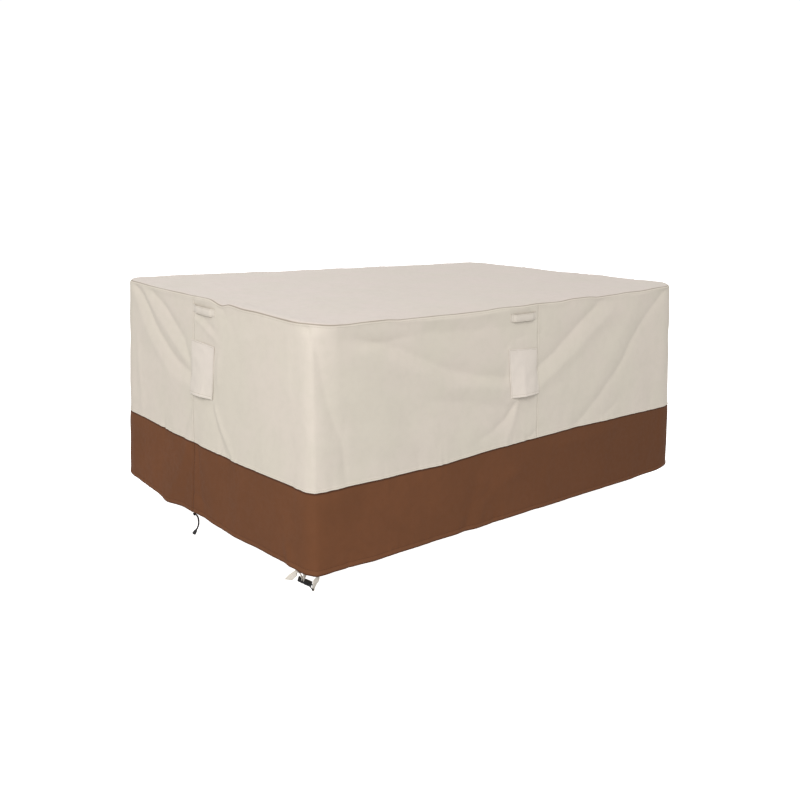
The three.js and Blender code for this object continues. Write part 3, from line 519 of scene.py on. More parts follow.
def tube(name, node, path, radius, sides=14, closed=False):
    """A round section carried along a path: centre + radius (cos a side + sin a over), its ends rounded."""
    steps = np.roll(path, -1, axis=0) - np.roll(path, 1, axis=0) if closed else np.gradient(path, axis=0)
    way = unit(steps)
    side = unit(np.cross(way, UP + 0.01 * DEEP))
    over = np.cross(side, way)
    radius = np.full(len(path), float(radius))
    if not closed:
        steps = np.linspace(0, math.pi / 2, CAP_STEPS)
        cap = CAP_LONG * radius[0]
        head = path[0] - way[0] * (np.sin(steps[::-1]) * cap)[:, None]
        tail = path[-1] + way[-1] * (np.sin(steps) * cap)[:, None]
        radius = np.concatenate([radius[0] * np.cos(steps[::-1]), radius, radius[-1] * np.cos(steps)])
        path = np.concatenate([head, path, tail])
        last = len(side) - 1
        ends = np.concatenate([np.zeros(CAP_STEPS, int), np.arange(len(side)), np.full(CAP_STEPS, last)])
        side, over = side[ends], over[ends]
    turn = np.linspace(0, 2 * math.pi, sides, endpoint=False)
    ring = np.cos(turn)[:, None, None] * side[None] + np.sin(turn)[:, None, None] * over[None]
    rings = path[None] + radius[None, :, None] * ring
    length = walked(path)
    if closed:
        rings = np.concatenate([rings, rings[:, :1]], axis=1)
        length = np.append(length, length[-1])
    return surface(name, node, rings, turn[:, None], length[None], cloth=0, closed=True)


cord_line = spline(CORD_FOOT + CORD_ROUTE[:, :1] * ACROSS + CORD_ROUTE[:, 1:] * UP, CORD_POINTS)
draw_cord = tube("draw_cord_braid", "draw_cord", cord_line, CORD_RADIUS)


def cord_knot():
    """The cord tied on itself: a trefoil, (sin t + 2 sin 2t, cos t - 2 cos 2t, -sin 3t), pulled small."""
    t = np.linspace(0, 2 * math.pi, 90, endpoint=False)
    over, up = np.sin(t) + 2 * np.sin(2 * t), np.cos(t) - 2 * np.cos(2 * t)
    deep = -KNOT["deep"] * np.sin(3 * t)
    middle = CORD_FOOT + UP * (hem_line(station("left", SEAM_ALONG["left"])) - KNOT["below"])
    loop = over[:, None] * ACROSS + up[:, None] * UP + deep[:, None] * DEEP
    path = middle + KNOT["size"] * loop
    return tube("draw_cord_knot_tied", "draw_cord_knot", path, KNOT["radius"], 10, closed=True)


draw_cord_knot = cord_knot()

# Cord end: distance down and radius.
END_PROFILE = np.array([
    (0, 0.02), (0, 3.0), (0.8, 4.2), (3, 4.9), (8, 5.8), (12.5, 6.5), (15.4, 6.4), (17, 5.0), (17.4, 2.4),
    (17.4, 0.02),
])
END_ROWS, END_SIDES, END_ROUND = 40, 28, 5


def turned_end():
    """The cord end's profile spun round the line on which the cord runs out."""
    way = unit(cord_line[-1] - cord_line[-4])
    start = cord_line[-1] + GAP * way
    side = unit(np.cross(way, UP + DEEP))
    over = np.cross(side, way)
    down, radius = spline(END_PROFILE, END_ROWS).T
    turn = np.linspace(0, 2 * math.pi, END_SIDES, endpoint=False)[:, None]
    ring = np.cos(turn) * side + np.sin(turn) * over
    points = start + down[None, :, None] * way + np.maximum(radius, 0)[None, :, None] * ring[:, None]
    return surface(
        "draw_cord_end_cap", "draw_cord_end", points, turn * END_ROUND, down[None], cloth=0, closed=True,
    )


cord_end = turned_end()
tuple(cord_line[0] * METRE)
(cord_line * METRE).tolist()


# Corner strap of webbing and its buckle.
WEB_WIDTH, WEB_CLOTH, WEB_FLAT, WEB_BEND = 20.0, 1.6, 11, 7
BUCKLE_ACROSS, BUCKLE_DEEP, BUCKLE_HEIGHT, BUCKLE_DIP = -30.5, 12.0, -733.5, math.radians(24)
LADDER_BAR, BAR_ALONG, BAR_OVER, BAR_LOOP = -6.0, 33.0, -9.5, 3.3


def on_buckle(along, over, turn=0.0):
    """A place in the strap's rows from the buckle's own long section."""
    across = BUCKLE_ACROSS + along * math.cos(BUCKLE_DIP) + over * math.sin(BUCKLE_DIP)
    height = BUCKLE_HEIGHT - along * math.sin(BUCKLE_DIP) + over * math.cos(BUCKLE_DIP)
    return across, BUCKLE_DEEP, height, turn


# Rows of the webbing: across, deep, height, and the turn of its width.
LADDER_LOOP = [(3, 2.2), (2.9, -2.4), (2.2, -4.3), (0, -4.9), (-2.2, -4.3), (-2.9, -2.4), (-3, 2.2)]
LONG_WEB = [
    (-27, 14, -692, 52), (-28, 13.5, -707, 36), (-29, 12.5, -717, 24), on_buckle(-2.7, 8, 10),
    *[on_buckle(LADDER_BAR + away, over) for away, over in LADDER_LOOP],
    on_buckle(-9.3, 8), (-38.5, 14, -719, -8), (-43.5, 18, -713.5, -22), (-51.5, 23, -711.5, -36),
    (-60, 25, -719, -50), (-69, 26, -727, -60), (-75, 27, -734, -60), (-79, 28, -739, -56),
]
SHORT_WEB = [
    (11, 8, -692, 40), (10, 7.5, -706, 22), (8.5, 7.5, -715, 24), (5.5, 9, -723, 48), (3, 11, -732, 56),
    (0.5, 12, -743, 30),
    *[on_buckle(BAR_ALONG + BAR_LOOP * math.cos(a), BAR_OVER + BAR_LOOP * math.sin(a))
      for a in np.radians([20, -20, -60, -100, -140, -180])],
    on_buckle(BAR_ALONG - BAR_LOOP, BAR_OVER + 5),
]


def webbing(node, rows, slant=0.0):
    """Flat webbing with rounded edges, carried along its rows; its width turns from deep towards across.
    slant is the slope of the cut at its last end."""
    rows = spline(np.array(rows, dtype=float), 12 * len(rows))
    centre = STRAP_FOOT + rows[:, :1] * ACROSS + rows[:, 1:2] * DEEP + rows[:, 2:3] * UP
    way = unit(np.gradient(centre, axis=0))
    turn = np.radians(rows[:, 3:])
    broad = np.cos(turn) * DEEP + np.sin(turn) * ACROSS
    broad = unit(broad - (broad * way).sum(axis=1, keepdims=True) * way)
    thin = np.cross(way, broad)
    edge, half = WEB_WIDTH / 2 - WEB_CLOTH / 2, WEB_CLOTH / 2
    flat = np.linspace(-edge, edge, WEB_FLAT)
    bend = np.linspace(0, math.pi, WEB_BEND)[1:-1]
    one_half = np.concatenate([
        np.stack([flat, np.full(WEB_FLAT, half)], axis=1),
        np.stack([edge + half * np.sin(bend), half * np.cos(bend)], axis=1),
    ])
    section = np.concatenate([one_half, -one_half])
    points = centre[None] + section[:, :1, None] * broad[None] + section[:, 1:, None] * thin[None]
    cut = slant * ease(0.8, 1.0, np.linspace(0, 1, len(rows)))
    points += section[:, :1, None] * cut[None, :, None] * way[None]
    closing = np.repeat(centre[[0, -1]][None], len(section), axis=0)
    points = np.concatenate([closing[:, :1], points, closing[:, 1:]], axis=1)
    length = walked(centre)
    length = np.concatenate([[0.0], length, length[-1:]])
    piece = surface(f"{node}_woven", node, points, section[:, :1], length[None], cloth=0, closed=True)
    return piece


webs = [webbing("strap_web_long", LONG_WEB, 1.0), webbing("strap_web_short", SHORT_WEB)]


# Cloth of the cover. Dents and swells along the seams: distance from the seam, push (a dent is below zero)
# and width.
RISE = {
    "wall top": (0, -1.2, 1.3), "wall foot": (9, -0.4, 2), "beside roll": (0, 1.5, 8),
    "wall end": (0, -0.8, 1.8), "beside wall end": (7, 0.6, 4), "skirt top": (0, -0.8, 2),
    "skirt end": (0, -1.2, 1.8), "beside skirt end": (7, 1.0, 4), "hem band": (HEM_BAND, -0.22, 1.8),
    "lid": (0, -0.9, 1.4), "hood edge": (5, -0.4, 1.4), "hood mouth": (4, 1.2, 3),
    "hood hem": (HOOD_HEM, -0.5, 1.5), "handle edge": (3, -0.5, 1.2),
}

# Puckers along the seams: seed of their waves, reach and height.
PUCKER = {"rim": (11, 24, 0.45), "colour seam": (12, 26, 0.55), "hem": (22, 14, 0.7), "lid": (31, 24, 0.5)}


def rise(name, away):
    """Dent or swell along a seam: its push times exp(-((away - at) / wide)^2)."""
    at, push, wide = RISE[name]
    return push * np.exp(-(((away - at) / wide) ** 2))


def pucker(name, s, away):
    """Small creases square to a seam, fading with the distance away from it, stronger in some places."""
    seed, reach, height = PUCKER[name]
    strong = 0.6 + 0.4 * waves_round(s, 0, seed + 100, 150, 500, 8, 1.0)
    return height * strong * waves_round(s, 0, seed, 20, 70, 30, 1.0) * np.exp(-np.abs(away) / reach)


def seam_angle(s):
    """Where the rim's seam lies on the rolled edge: 0 on top, a quarter turn on the wall."""
    return np.radians(seam_degrees(s) + 5 * waves_round(s, 0, 5, 120, 400, 8, 1.0).clip(-1.6, 1.6))


def rim_top(s):
    """Height of the top of the rolled edge, above the line of the rim's seam."""
    return rim_line(s) + ROLL * (1 - np.cos(seam_angle(s)))


def sheet(node, points, along, down, facts, cloth=CLOTH):
    """A cloth surface in the place of a node, with its flat size."""
    piece = surface(f"{node}_cloth", node, points, along, down, facts, cloth)
    return piece


# Height of a wall panel and of the skirt, from which their rows of points are spread, the spacing of their
# points on the seen sides, on the others and down, and the closer rows of the rolled edge and the hem.
WALL_TALL, SKIRT_TALL = 463.0, 246.0
WALL_STEPS, SKIRT_STEPS = (4.8, 7.5, 5.2), (5.4, 9.0, 6.6)
ROLL_ROWS, BAND_ROWS = np.linspace(0, 7, 7), np.linspace(0, HEM_BAND, 14)[1:]
SEAM_SPACE = 0.2

# The wall's foot stands out as a lip over the skirt. The hem's band swells, and its last rows turn in.
LIP, LIP_FROM, LIP_WHOLE = 1.7, 8, 1.5
BAND_SWELL, BAND_UNEVEN, TURN_IN = 1.0, 0.25, 3.0

# Lean of the rim's seam at which the cloth below it swells, and no longer does.
SWELL_LEAN = math.radians(40), math.radians(56)


def wall(node, start, end):
    """Columns run round the cover and rows down it: along the rolled edge, then down to the colour seam."""
    close, wide, step = WALL_STEPS
    s = spaced_round(start + SEAM_SPACE, end - SEAM_SPACE, close, wide)[:, None]
    angle = seam_angle(s)
    arc = ROLL * (math.pi / 2 - angle)
    length = arc + rim_top(s) - ROLL - seam_line(s)
    rows = np.concatenate([ROLL_ROWS, spaced(9, WALL_TALL, step, (1.2, 2.4, 5.0, 8.0))]) / WALL_TALL
    down = rows[None] * length
    turn = np.minimum(angle + down / ROLL, math.pi / 2)
    z = rim_top(s) - ROLL * (1 - np.cos(turn)) - np.maximum(0.0, down - arc)
    from_foot, from_end = length - down, np.minimum(s - start, end - s)
    out = LIP * ease(LIP_FROM, LIP_WHOLE, from_foot) - ROLL * (1 - np.sin(turn))
    out += rise("wall foot", from_foot) + rise("wall top", down)
    out += rise("beside roll", down - arc) * ease(SWELL_LEAN[1], SWELL_LEAN[0], angle)
    out += pucker("rim", s, down) * ease(0, 10, down) + pucker("colour seam", s, from_foot)
    out += rise("beside wall end", from_end) + rise("wall end", from_end)
    out += unevenness(s, z) * ease(0, 60, down)
    return sheet(node, hang(s, z, out), s, z, (down, from_foot, from_end))


PANELS = [
    ("wall_front_left", "left", "front"), ("wall_front_right", "front", "right"),
    ("wall_back_right", "right", "back"), ("wall_back_left", "back", "left"),
]
walls = []
for panel, first, last in PANELS:
    begin, finish = station(first, SEAM_ALONG[first]), station(last, SEAM_ALONG[last])
    walls.append(wall(panel, begin, finish if finish > begin else finish + AROUND))


def skirt():
    """One strip from under the colour seam to the hem, whose band holds the draw cord and turns in."""
    close, wide, step = SKIRT_STEPS
    begin = station("left", SEAM_ALONG["left"])
    s = spaced_round(begin + SEAM_SPACE, begin + AROUND - SEAM_SPACE, close, wide)[:, None]
    top = seam_line(s) - GAP
    length = top - hem_line(s)
    top_of_band = SKIRT_TALL - HEM_BAND
    plain = spaced(0, top_of_band, step, (0.8, 1.8, 3.6))
    down = np.concatenate([plain, top_of_band + BAND_ROWS])[None] / SKIRT_TALL * length
    above = length - down
    z = top - down
    turn = math.pi * np.clip(above / HEM_BAND, 0, 1)
    out = BAND_SWELL * np.sin(turn) ** 0.8 * (1 + BAND_UNEVEN * waves_round(s, 0, 21, 18, 60, 20, 1.0))
    out += rise("hem band", above) + rise("skirt top", down) - TURN_IN * ease(TURN_IN, 0, above)
    out += pucker("hem", s, above - HEM_BAND) + pucker("colour seam", s, down)
    from_end = np.minimum(s - begin, begin + AROUND - s)
    out += rise("beside skirt end", from_end) + rise("skirt end", from_end) + unevenness(s, z)
    return sheet("skirt", hang(s, z, out), s, z, (down, above, from_end))


skirt_cloth = skirt()

# Heights that the top panel's corners are drawn from, left and right, in front and at the back, and the
# height of its middle.
LIFT_FRONT, LIFT_BACK, LID_HEIGHT = (3.0, 7.0), (9.0, -12.0), 1.6
LID_FINE, LID_STEP = np.array([0, 0.8, 1.7, 2.7, 3.8, 5.2, 7.2, 10, 14, 20, 28]), 12.0

# Distances from the wall's face past which the top has its own height, and within which it has the rim's.
LID_FLAT_FROM, LID_RIM_WITHIN = 95, 8

# Wide swells of the top panel: place, width and height.
LID_SWELLS = [
    (-620, -250, 260, 2.5), (-150, 150, 300, -2), (380, -180, 280, 2), (560, 250, 240, -2.5),
    (-500, 330, 220, -1),
]

# Small creases of the top panel: both ends in plan, width, push up.
LID_CREASES = [
    (-640, -530, -585, -537, 7, -1.8), (-592, -420, -565, -461, 14, 0.9), (-700, -500, -640, -522, 10, 1.4),
    (-850, 300, -870, 120, 12, 1.6), (-872, -250, -866, -470, 12, 1.6), (-100, -520, 120, -536, 12, 1.2),
    (380, -532, 560, -520, 12, -1.2),
]

# A distance from the seams at which a cloth shows none of their stitches and shades.
FAR = 500


def lid_rise(x, y):
    """Height of the top panel: bilinear between its corners, with a few wide swells."""
    u, v = x / LENGTH + 0.5, y / WIDTH + 0.5
    front = LIFT_FRONT[0] + (LIFT_FRONT[1] - LIFT_FRONT[0]) * u
    back = LIFT_BACK[0] + (LIFT_BACK[1] - LIFT_BACK[0]) * u
    height = front + (back - front) * v
    for at_x, at_y, width, swell in LID_SWELLS:
        height = height + swell * np.exp(-((x - at_x) ** 2 + (y - at_y) ** 2) / width**2)
    return height


def lid_crease(x, y, start_x, start_y, end_x, end_y, wide, push):
    """A crease of the top panel: its push times exp(-(d / wide)^2) at a distance d from its line."""
    run_x, run_y = end_x - start_x, end_y - start_y
    share = ((x - start_x) * run_x + (y - start_y) * run_y) / (run_x**2 + run_y**2)
    share = np.clip(share, 0, 1)
    away = np.hypot(x - start_x - share * run_x, y - start_y - share * run_y)
    return push * np.exp(-((away / wide) ** 2))


def lid_shares(size):
    """Places from 0 to 1 along a side of the top panel, closer at both ends."""
    first, last = LID_FINE[-1] + LID_STEP, size - LID_FINE[-1] - LID_STEP
    middle = np.linspace(first, last, int((size - 2 * LID_FINE[-1]) / LID_STEP))
    return np.concatenate([LID_FINE, middle, (size - LID_FINE)[::-1]]) / size


def lid_edge(side, share):
    """Place on the rim's seam in plan, at a share of the way from the middle of one corner to the next."""
    k = SIDE_NAMES.index(side)
    s = SIDE_START[k] - ARC / 2 + share * (SIDE_RUN[k] + ARC)
    x, y, out_x, out_y = outline(s)
    inset = ROLL * (1 - np.sin(seam_angle(s)))
    return np.stack([x - out_x * inset, y - out_y * inset], axis=-1)


def nearest_station(x, y):
    """Distance round the outline of its point nearest to a place on the top: by side, or by corner angle."""
    inner_x, inner_y = LENGTH / 2 - CORNER, WIDTH / 2 - CORNER
    reach = [WIDTH / 2 + y, LENGTH / 2 - x, WIDTH / 2 - y, LENGTH / 2 + x]
    side = np.argmin(np.stack(np.broadcast_arrays(*reach)), axis=0)
    run = (x - SIDE_X[side]) * WAY_X[side] + (y - SIDE_Y[side]) * WAY_Y[side]
    s = SIDE_START[side] + np.clip(run, 0, SIDE_RUN[side])
    in_corner = (np.abs(x) > inner_x) & (np.abs(y) > inner_y)
    for k, (sign_x, sign_y) in enumerate([(1, -1), (1, 1), (-1, 1), (-1, -1)]):
        here = in_corner & (np.sign(x) == sign_x) & (np.sign(y) == sign_y)
        away_x, away_y = x - sign_x * inner_x, y - sign_y * inner_y
        along = away_x * WAY_X[k] + away_y * WAY_Y[k]
        turn = np.arctan2(along, away_x * WAY_Y[k] - away_y * WAY_X[k])
        s = np.where(here, SIDE_START[k] + SIDE_RUN[k] + CORNER * np.clip(turn, 0, math.pi / 2), s)
    return s


def lid():
    """Coons patch between the four sides of the outline, cut at the middles of its corners.
    Near its edge it rolls down by R - sqrt(R^2 - (R - d)^2) at a distance d from the wall's face."""
    u, v = lid_shares(LENGTH)[:, None], lid_shares(WIDTH)[None]
    front, back, left, right = (
        lid_edge(side, share) for side, share in zip(("front", "back", "left", "right"), (u, 1 - u, 1 - v, v))
    )
    u, v = u[..., None], v[..., None]
    corners = (
        (1 - u) * (1 - v) * front[:1] + u * (1 - v) * front[-1:] + (1 - u) * v * back[:1] + u * v * back[-1:]
    )
    flat = (1 - v) * front + v * back + (1 - u) * left + u * right - corners
    x, y = flat[..., 0], flat[..., 1]
    corner_x, corner_y = np.abs(x) - (LENGTH / 2 - CORNER), np.abs(y) - (WIDTH / 2 - CORNER)
    outside = np.hypot(np.maximum(corner_x, 0), np.maximum(corner_y, 0))
    from_wall = CORNER - outside - np.minimum(np.maximum(corner_x, corner_y), 0)
    near = nearest_station(x, y)
    roll = ROLL - np.sqrt(ROLL**2 - (ROLL - np.clip(from_wall, 0, ROLL)) ** 2)
    at_rim = ease(LID_FLAT_FROM, LID_RIM_WITHIN, from_wall)
    plain = lid_rise(x, y) - lid_rise(0.0, 0.0) + LID_HEIGHT
    level = plain * (1 - at_rim) + rim_top(near) * at_rim
    from_seam = from_wall - ROLL * (1 - np.sin(seam_angle(near)))
    level += pucker("lid", near, from_seam) * ease(0, 6, from_seam) + rise("lid", from_seam)
    level += 0.9 * waves(x, y, 32, 120, 420) * ease(10, 90, from_wall)
    level += sum(lid_crease(x, y, *row) for row in LID_CREASES)
    points = np.stack([x, y, level - roll], axis=-1)[:, ::-1]
    from_seam = from_seam[:, ::-1]
    facts = (from_seam, from_seam + FAR, from_seam + FAR)
    piece = surface("top_panel_cloth", "top_panel", points, x[:, ::-1], y[:, ::-1], facts)
    return piece


lid_cloth = lid()

# Creases of the hoods: share across at top and foot with the share down of each, width, push.
HOOD_CREASES = {
    "front": [(0.46, 0.3, 0.36, 1.0, 0.1, 2.3), (0.66, 0.25, 0.62, 1.0, 0.13, -0.8)],
    "right": [(0.6, 0.3, 0.52, 1.0, 0.06, 2.4)],
    "back": [(0.45, 0.2, 0.52, 1.0, 0.06, 2.4)],
    "left": [(0.7, 0.55, 0.62, 1.0, 0.05, 1.6), (0.3, 0.2, 0.22, 0.8, 0.09, -0.8)],
}

# Spacing of the hoods' points, and how far the last rows of their mouths turn in.
HOOD_STEP, HOOD_FINE, TUCK = 2.8, (0.6, 1.6, 3.0), 2.2


def hood(side):
    """A patch bowed out by its stand times sin(pi across)^1.1 times down^1.2, its edges on the wall."""
    width, drop = HOOD["width"], HOOD["drop"]
    across = (spaced(0, width, HOOD_STEP, HOOD_FINE) / width)[:, None]
    down = (spaced(0, drop, HOOD_STEP, HOOD_FINE) / drop)[None]
    bow = np.sin(math.pi * across) ** 1.1 * down**1.2
    middle = station(side, HOOD_MIDDLE[side]) + HOOD_LEAN[side] * down
    s = middle + (across - 0.5) * width * (1 - HOOD["draw"] * down)
    first_top, last_top, first_foot, last_foot = HOOD_ENDS[side]
    top, foot = first_top + (last_top - first_top) * across, first_foot + (last_foot - first_foot) * across
    z = top + (foot - top) * down - HOOD_DIP[side] * bow
    out = CLOTH + GAP + HOOD_STAND[side] * bow
    for at_top, from_top, at_foot, to_foot, wide, push in HOOD_CREASES[side]:
        line = at_top + (at_foot - at_top) * np.clip((down - from_top) / (to_foot - from_top), 0, 1)
        shown = ease(from_top, from_top + 0.3, down) * ease(to_foot + 0.25, to_foot, down)
        out = out + push * np.exp(-(((across - line) / wide) ** 2)) * shown
    from_edge = np.minimum(np.minimum(across, 1 - across) * width, down * drop)
    from_mouth = (1 - down) * drop
    out += 0.45 * waves(s, z, 41 + SIDE_NAMES.index(side), 45, 140) * ease(4, 24, from_edge)
    out += rise("hood edge", from_edge) - TUCK * ease(TUCK, 0, from_mouth)
    out += (rise("hood mouth", from_mouth) + rise("hood hem", from_mouth)) * ease(3, 10, from_edge)
    points = hang(s, z, np.maximum(out, CLOTH))
    return sheet(f"vent_hood_{side}", points, s, z, (from_edge, from_mouth, from_edge))


def handle(side):
    """A flat strap: out by stand between its sewn ends, along a smooth step at each end, slightly domed."""
    half, height = HANDLE["length"] / 2, HANDLE["height"]
    along = spaced(-half, half, 2.0, (0.5, 1.2, 2.0))[:, None]
    depth = spaced(0, height, 2.2, (0.5, 1.2, 2.4))[None]
    row = depth / height
    raised = ease(0.92, 0.60, np.abs(along) / half)
    z = HANDLE_TOP[side] - depth - HANDLE["sag"] * raised
    out = CLOTH + GAP + (HANDLE["stand"] - HANDLE["dome"] * (2 * row - 1) ** 2) * raised
    out += rise("handle edge", np.minimum(depth, height - depth)) + 0.3 * waves(along, z, 51, 24, 80) * raised
    s = station(side, HANDLE_MIDDLE[side]) + along
    points, facts = hang(s, z, out), (depth, height - depth, half - np.abs(along))
    sewn_on, cloth = SEWN_TO[side][:1], HANDLE["cloth"]
    return sheet(f"handle_{side}", points, s, z, facts, cloth)


hoods = [hood(side) for side in SIDE_NAMES]
handles = [handle(side) for side in SIDE_NAMES]


# Materials.
class Socket:
    """A shader output that takes part in sums: each operator adds one Math node."""

    def __init__(self, tree, output):
        self.tree, self.output = tree, output

    def node(self, kind, settings, values, out=0):
        """Add any node: its settings first, then the values or links of its inputs; gives its output out."""
        made = self.tree.nodes.new(kind)
        for key, value in settings.items():
            setattr(made, key, value)
        for key, value in values.items():
            if isinstance(value, Socket):
                self.tree.links.new(value.output, made.inputs[key])
            else:
                made.inputs[key].default_value = value
        return Socket(self.tree, made.outputs[out])

    def math(self, operation, *others):
        return self.node("ShaderNodeMath", {"operation": operation}, dict(enumerate((self, *others))))

    def __add__(self, other):
        return self.math("ADD", other)

    def __sub__(self, other):
        return self.math("SUBTRACT", other)

    def __mul__(self, other):
        return self.math("MULTIPLY", other)

    def __truediv__(self, other):
        return self.math("DIVIDE", other)

    def __rsub__(self, other):
        return (self * -1.0) + other

    __radd__, __rmul__ = __add__, __mul__

    def over(self, low, high, to_low=0.0, to_high=1.0):
        """Eased from to_low at low to to_high at high."""
        edges = {"From Min": low, "From Max": high, "To Min": to_low, "To Max": to_high}
        return self.node("ShaderNodeMapRange", {"interpolation_type": "SMOOTHSTEP"}, {"Value": self, **edges})

    def band(self, middle, half, soft):
        """1 within half of the middle, fading to 0 over soft."""
        return (self - middle).math("ABSOLUTE").over(half, half + soft, 1.0, 0.0)

    def noise(self, scale, detail=2.0):
        return self.node("ShaderNodeTexNoise", {}, {"Vector": self, "Scale": scale, "Detail": detail})

    def blend(self, factor, first, second):
        """Colour between the first and the second."""
        values = {0: factor, 6: first, 7: second}
        return self.node("ShaderNodeMix", {"data_type": "RGBA"}, values, 2)

    def mix(self, factor, other):
        """Colour between this one and the other."""
        return self.blend(factor, self, other)

    def place(self):
        """Object coordinates."""
        return self.node("ShaderNodeTexCoord", {}, {}, "Object")

    def part(self, axis):
        """One coordinate of a vector."""
        return self.node("ShaderNodeSeparateXYZ", {}, {"Vector": self}, axis)

    def flat(self):
        """The cloth's own two coordinates, in metres."""
        laid = self.node("ShaderNodeUVMap", {"uv_map": "cloth"}, {})
        return laid.part("X"), laid.part("Y")

    def fact(self, name):
        """A distance from a seam, in metres, that the mesh carries."""
        return self.node("ShaderNodeAttribute", {"attribute_name": name}, {}, "Fac")

    def bump(self, strength, height):
        """Normal of a height in millimetres."""
        return self.node("ShaderNodeBump", {}, {"Strength": strength, "Distance": METRE, "Height": height})


def colour(red, green, blue):
    """Linear colour from the 0 to 255 values that a screen shows."""
    def linear(value):
        value = value / 255
        return value / 12.92 if value <= 0.04045 else ((value + 0.055) / 1.055) ** 2.4
    return (linear(red), linear(green), linear(blue), 1.0)


def darker(tone, share):
    """A colour with a share of its light taken away."""
    return tuple((1 - share) * value for value in tone[:3]) + (1.0,)


def material(name, **constants):
    """A new material with a Principled shader, whose constants are set on its own sockets."""
    made = bpy.data.materials.new(name)
    made.use_nodes = True
    shader = made.node_tree.nodes["Principled BSDF"]
    for key, value in constants.items():
        shader.inputs[key.replace("_", " ")].default_value = value
    return made, shader, Socket(made.node_tree, shader.outputs[0])


def feed(shader, **sockets):
    """Link each output to the shader's socket of the same name."""
    for key, value in sockets.items():
        value.tree.links.new(value.output, shader.inputs[key.replace("_", " ")])


# Width of a pair of yarns, and a stitch's pitch, half width and blur, all in metres.
YARN, STITCH_PITCH, STITCH_HALF, STITCH_BLUR = 0.0011, 0.0042, 0.00035, 0.0004

# Places along the cover, in metres, between which painted shade darkens a tone towards the right end.
RIGHT_SHADE_FROM, RIGHT_SHADE_TO = -0.75, 0.85


def cloth_material(name, tones, thread, stitches, edges, roughness=0.78, sheen=0.05, gloss=0.25, right_shade=0.0):
    """Coated plain weave: two sets of yarns as bump, soft mottling, stitched lines, and painted shade and
    painted highlights along seams and edges.
    tones are the main colour and a warmer one; stitches are fact, distance and way; edges are fact, from,
    to, colour and strength, each a painted shade or a painted highlight; the last argument is how much
    painted shade darkens the tone towards the right end of the cover."""
    base, warm = tones
    made, shader, wire = material(name, Sheen_Weight=sheen, Sheen_Roughness=0.5, Specular_IOR_Level=gloss)
    along, down = wire.flat()
    place = wire.place()
    turns = 2 * math.pi / YARN
    weave = (along * turns).math("SINE") * (down * turns).math("SINE")
    slubs = place.noise(420.0, 3.0)
    cloud = place.noise(38.0, 3.0)
    tone = wire.blend(place.noise(5.0, 4.0).over(0.35, 0.65), base, warm)
    dark = darker(base, 0.07)
    tone = tone.mix((1 - cloud.over(0.3, 0.6)) * 0.3, dark)
    tone = tone.mix(slubs.over(0.55, 0.8) * 0.12, dark)
    # Painted shade: darker towards the right end of the cover, which the key lamp lights less.
    if right_shade:
        tone = tone.mix(place.part("X").over(RIGHT_SHADE_FROM, RIGHT_SHADE_TO), darker(base, right_shade))
    height = weave * 0.05 + slubs * 0.08 + cloud * 0.2
    # Painted shade and painted highlights along seams and edges.
    for fact, low, high, tint, strength in edges:
        shade = wire.fact(fact).over(low * METRE, high * METRE, 1.0, 0.0)
        tone = tone.mix(shade * strength, tint)
    for fact, at, way in stitches:
        dash = ((along if way == "along" else down) / STITCH_PITCH).math("FRACT").band(0.5, 0.30, 0.12)
        line = wire.fact(fact).band(at * METRE, STITCH_HALF, STITCH_BLUR) * dash
        tone = tone.mix(line, thread)
        height = height + line * 0.35
    rough = place.noise(60.0, 2.0).over(0.3, 0.7, roughness - 0.06, roughness + 0.06)
    feed(shader, Base_Color=tone, Roughness=rough, Normal=wire.bump(0.6, height))
    return made


def moulded_material():
    """Satin black plastic: fine grain as bump, and a little dust."""
    made, shader, wire = material("black_moulded", Specular_IOR_Level=0.5)
    grain = wire.place().noise(1800.0, 2.0)
    dust = wire.place().noise(140.0, 4.0)
    black = wire.blend(dust.over(0.5, 0.75), colour(20, 20, 23), colour(46, 45, 46))
    rough = dust.over(0.3, 0.7, 0.34, 0.5)
    feed(shader, Base_Color=black, Roughness=rough, Normal=wire.bump(0.35, grain * 0.08))
    return made


def woven_material(name, light, dark, pitch, roughness, turns, sheen):
    """Webbing or braid: ribs across the length, broken by a slant, as bump and as painted shade in their
    grooves with lighter crests.
    """
    made, shader, wire = material(name, Sheen_Weight=sheen, Specular_IOR_Level=0.3)
    along, down = wire.flat()
    one, two = (((down + along * slant) * (2 * math.pi / pitch)).math("SINE") for slant in (turns, -turns))
    rib = one.math("MAXIMUM", two)
    fuzz = wire.place().noise(900.0, 3.0)
    # Painted shade in the grooves between the ribs, lighter on their crests; the fuzz darkens it at random.
    tone = wire.blend(rib.over(-0.4, 0.8), dark, light).mix(fuzz.over(0.5, 0.8) * 0.3, dark)
    rough = fuzz.over(0.3, 0.7, roughness - 0.05, roughness + 0.05)
    feed(shader, Base_Color=tone, Roughness=rough, Normal=wire.bump(0.7, rib * 0.22 + fuzz * 0.2))
    return made


BEIGE, BEIGE_THREAD = (colour(211, 203, 189), colour(213, 203, 191)), colour(190, 181, 165)
TOP = (colour(211, 202, 192), colour(213, 202, 194))
PATCH = (colour(217, 208, 197), colour(220, 210, 200))
STRAP = (colour(214, 205, 193), colour(215, 206, 195))
BROWN, BROWN_THREAD = (colour(108, 69, 45), colour(113, 72, 47)), colour(84, 55, 38)
# Painted shade along seams and under the handles' edges, and painted highlights on the wall's lip over the
# skirt and on the hoods' rolled mouths.
SEAM_SHADE, LIP_HIGHLIGHT, MOUTH_HIGHLIGHT = colour(142, 128, 110), colour(222, 214, 200), colour(228, 220, 209)
# Painted shade under the wall's lip, at the skirt's end seam and on the hem's turned-in edge, and a painted
# highlight on the hem's swelling band.
BROWN_SHADE, BROWN_HIGHLIGHT = colour(80, 49, 33), colour(122, 83, 58)
RIM_SHADE = ("from_top", 0.7, 2.2, SEAM_SHADE, 0.75)
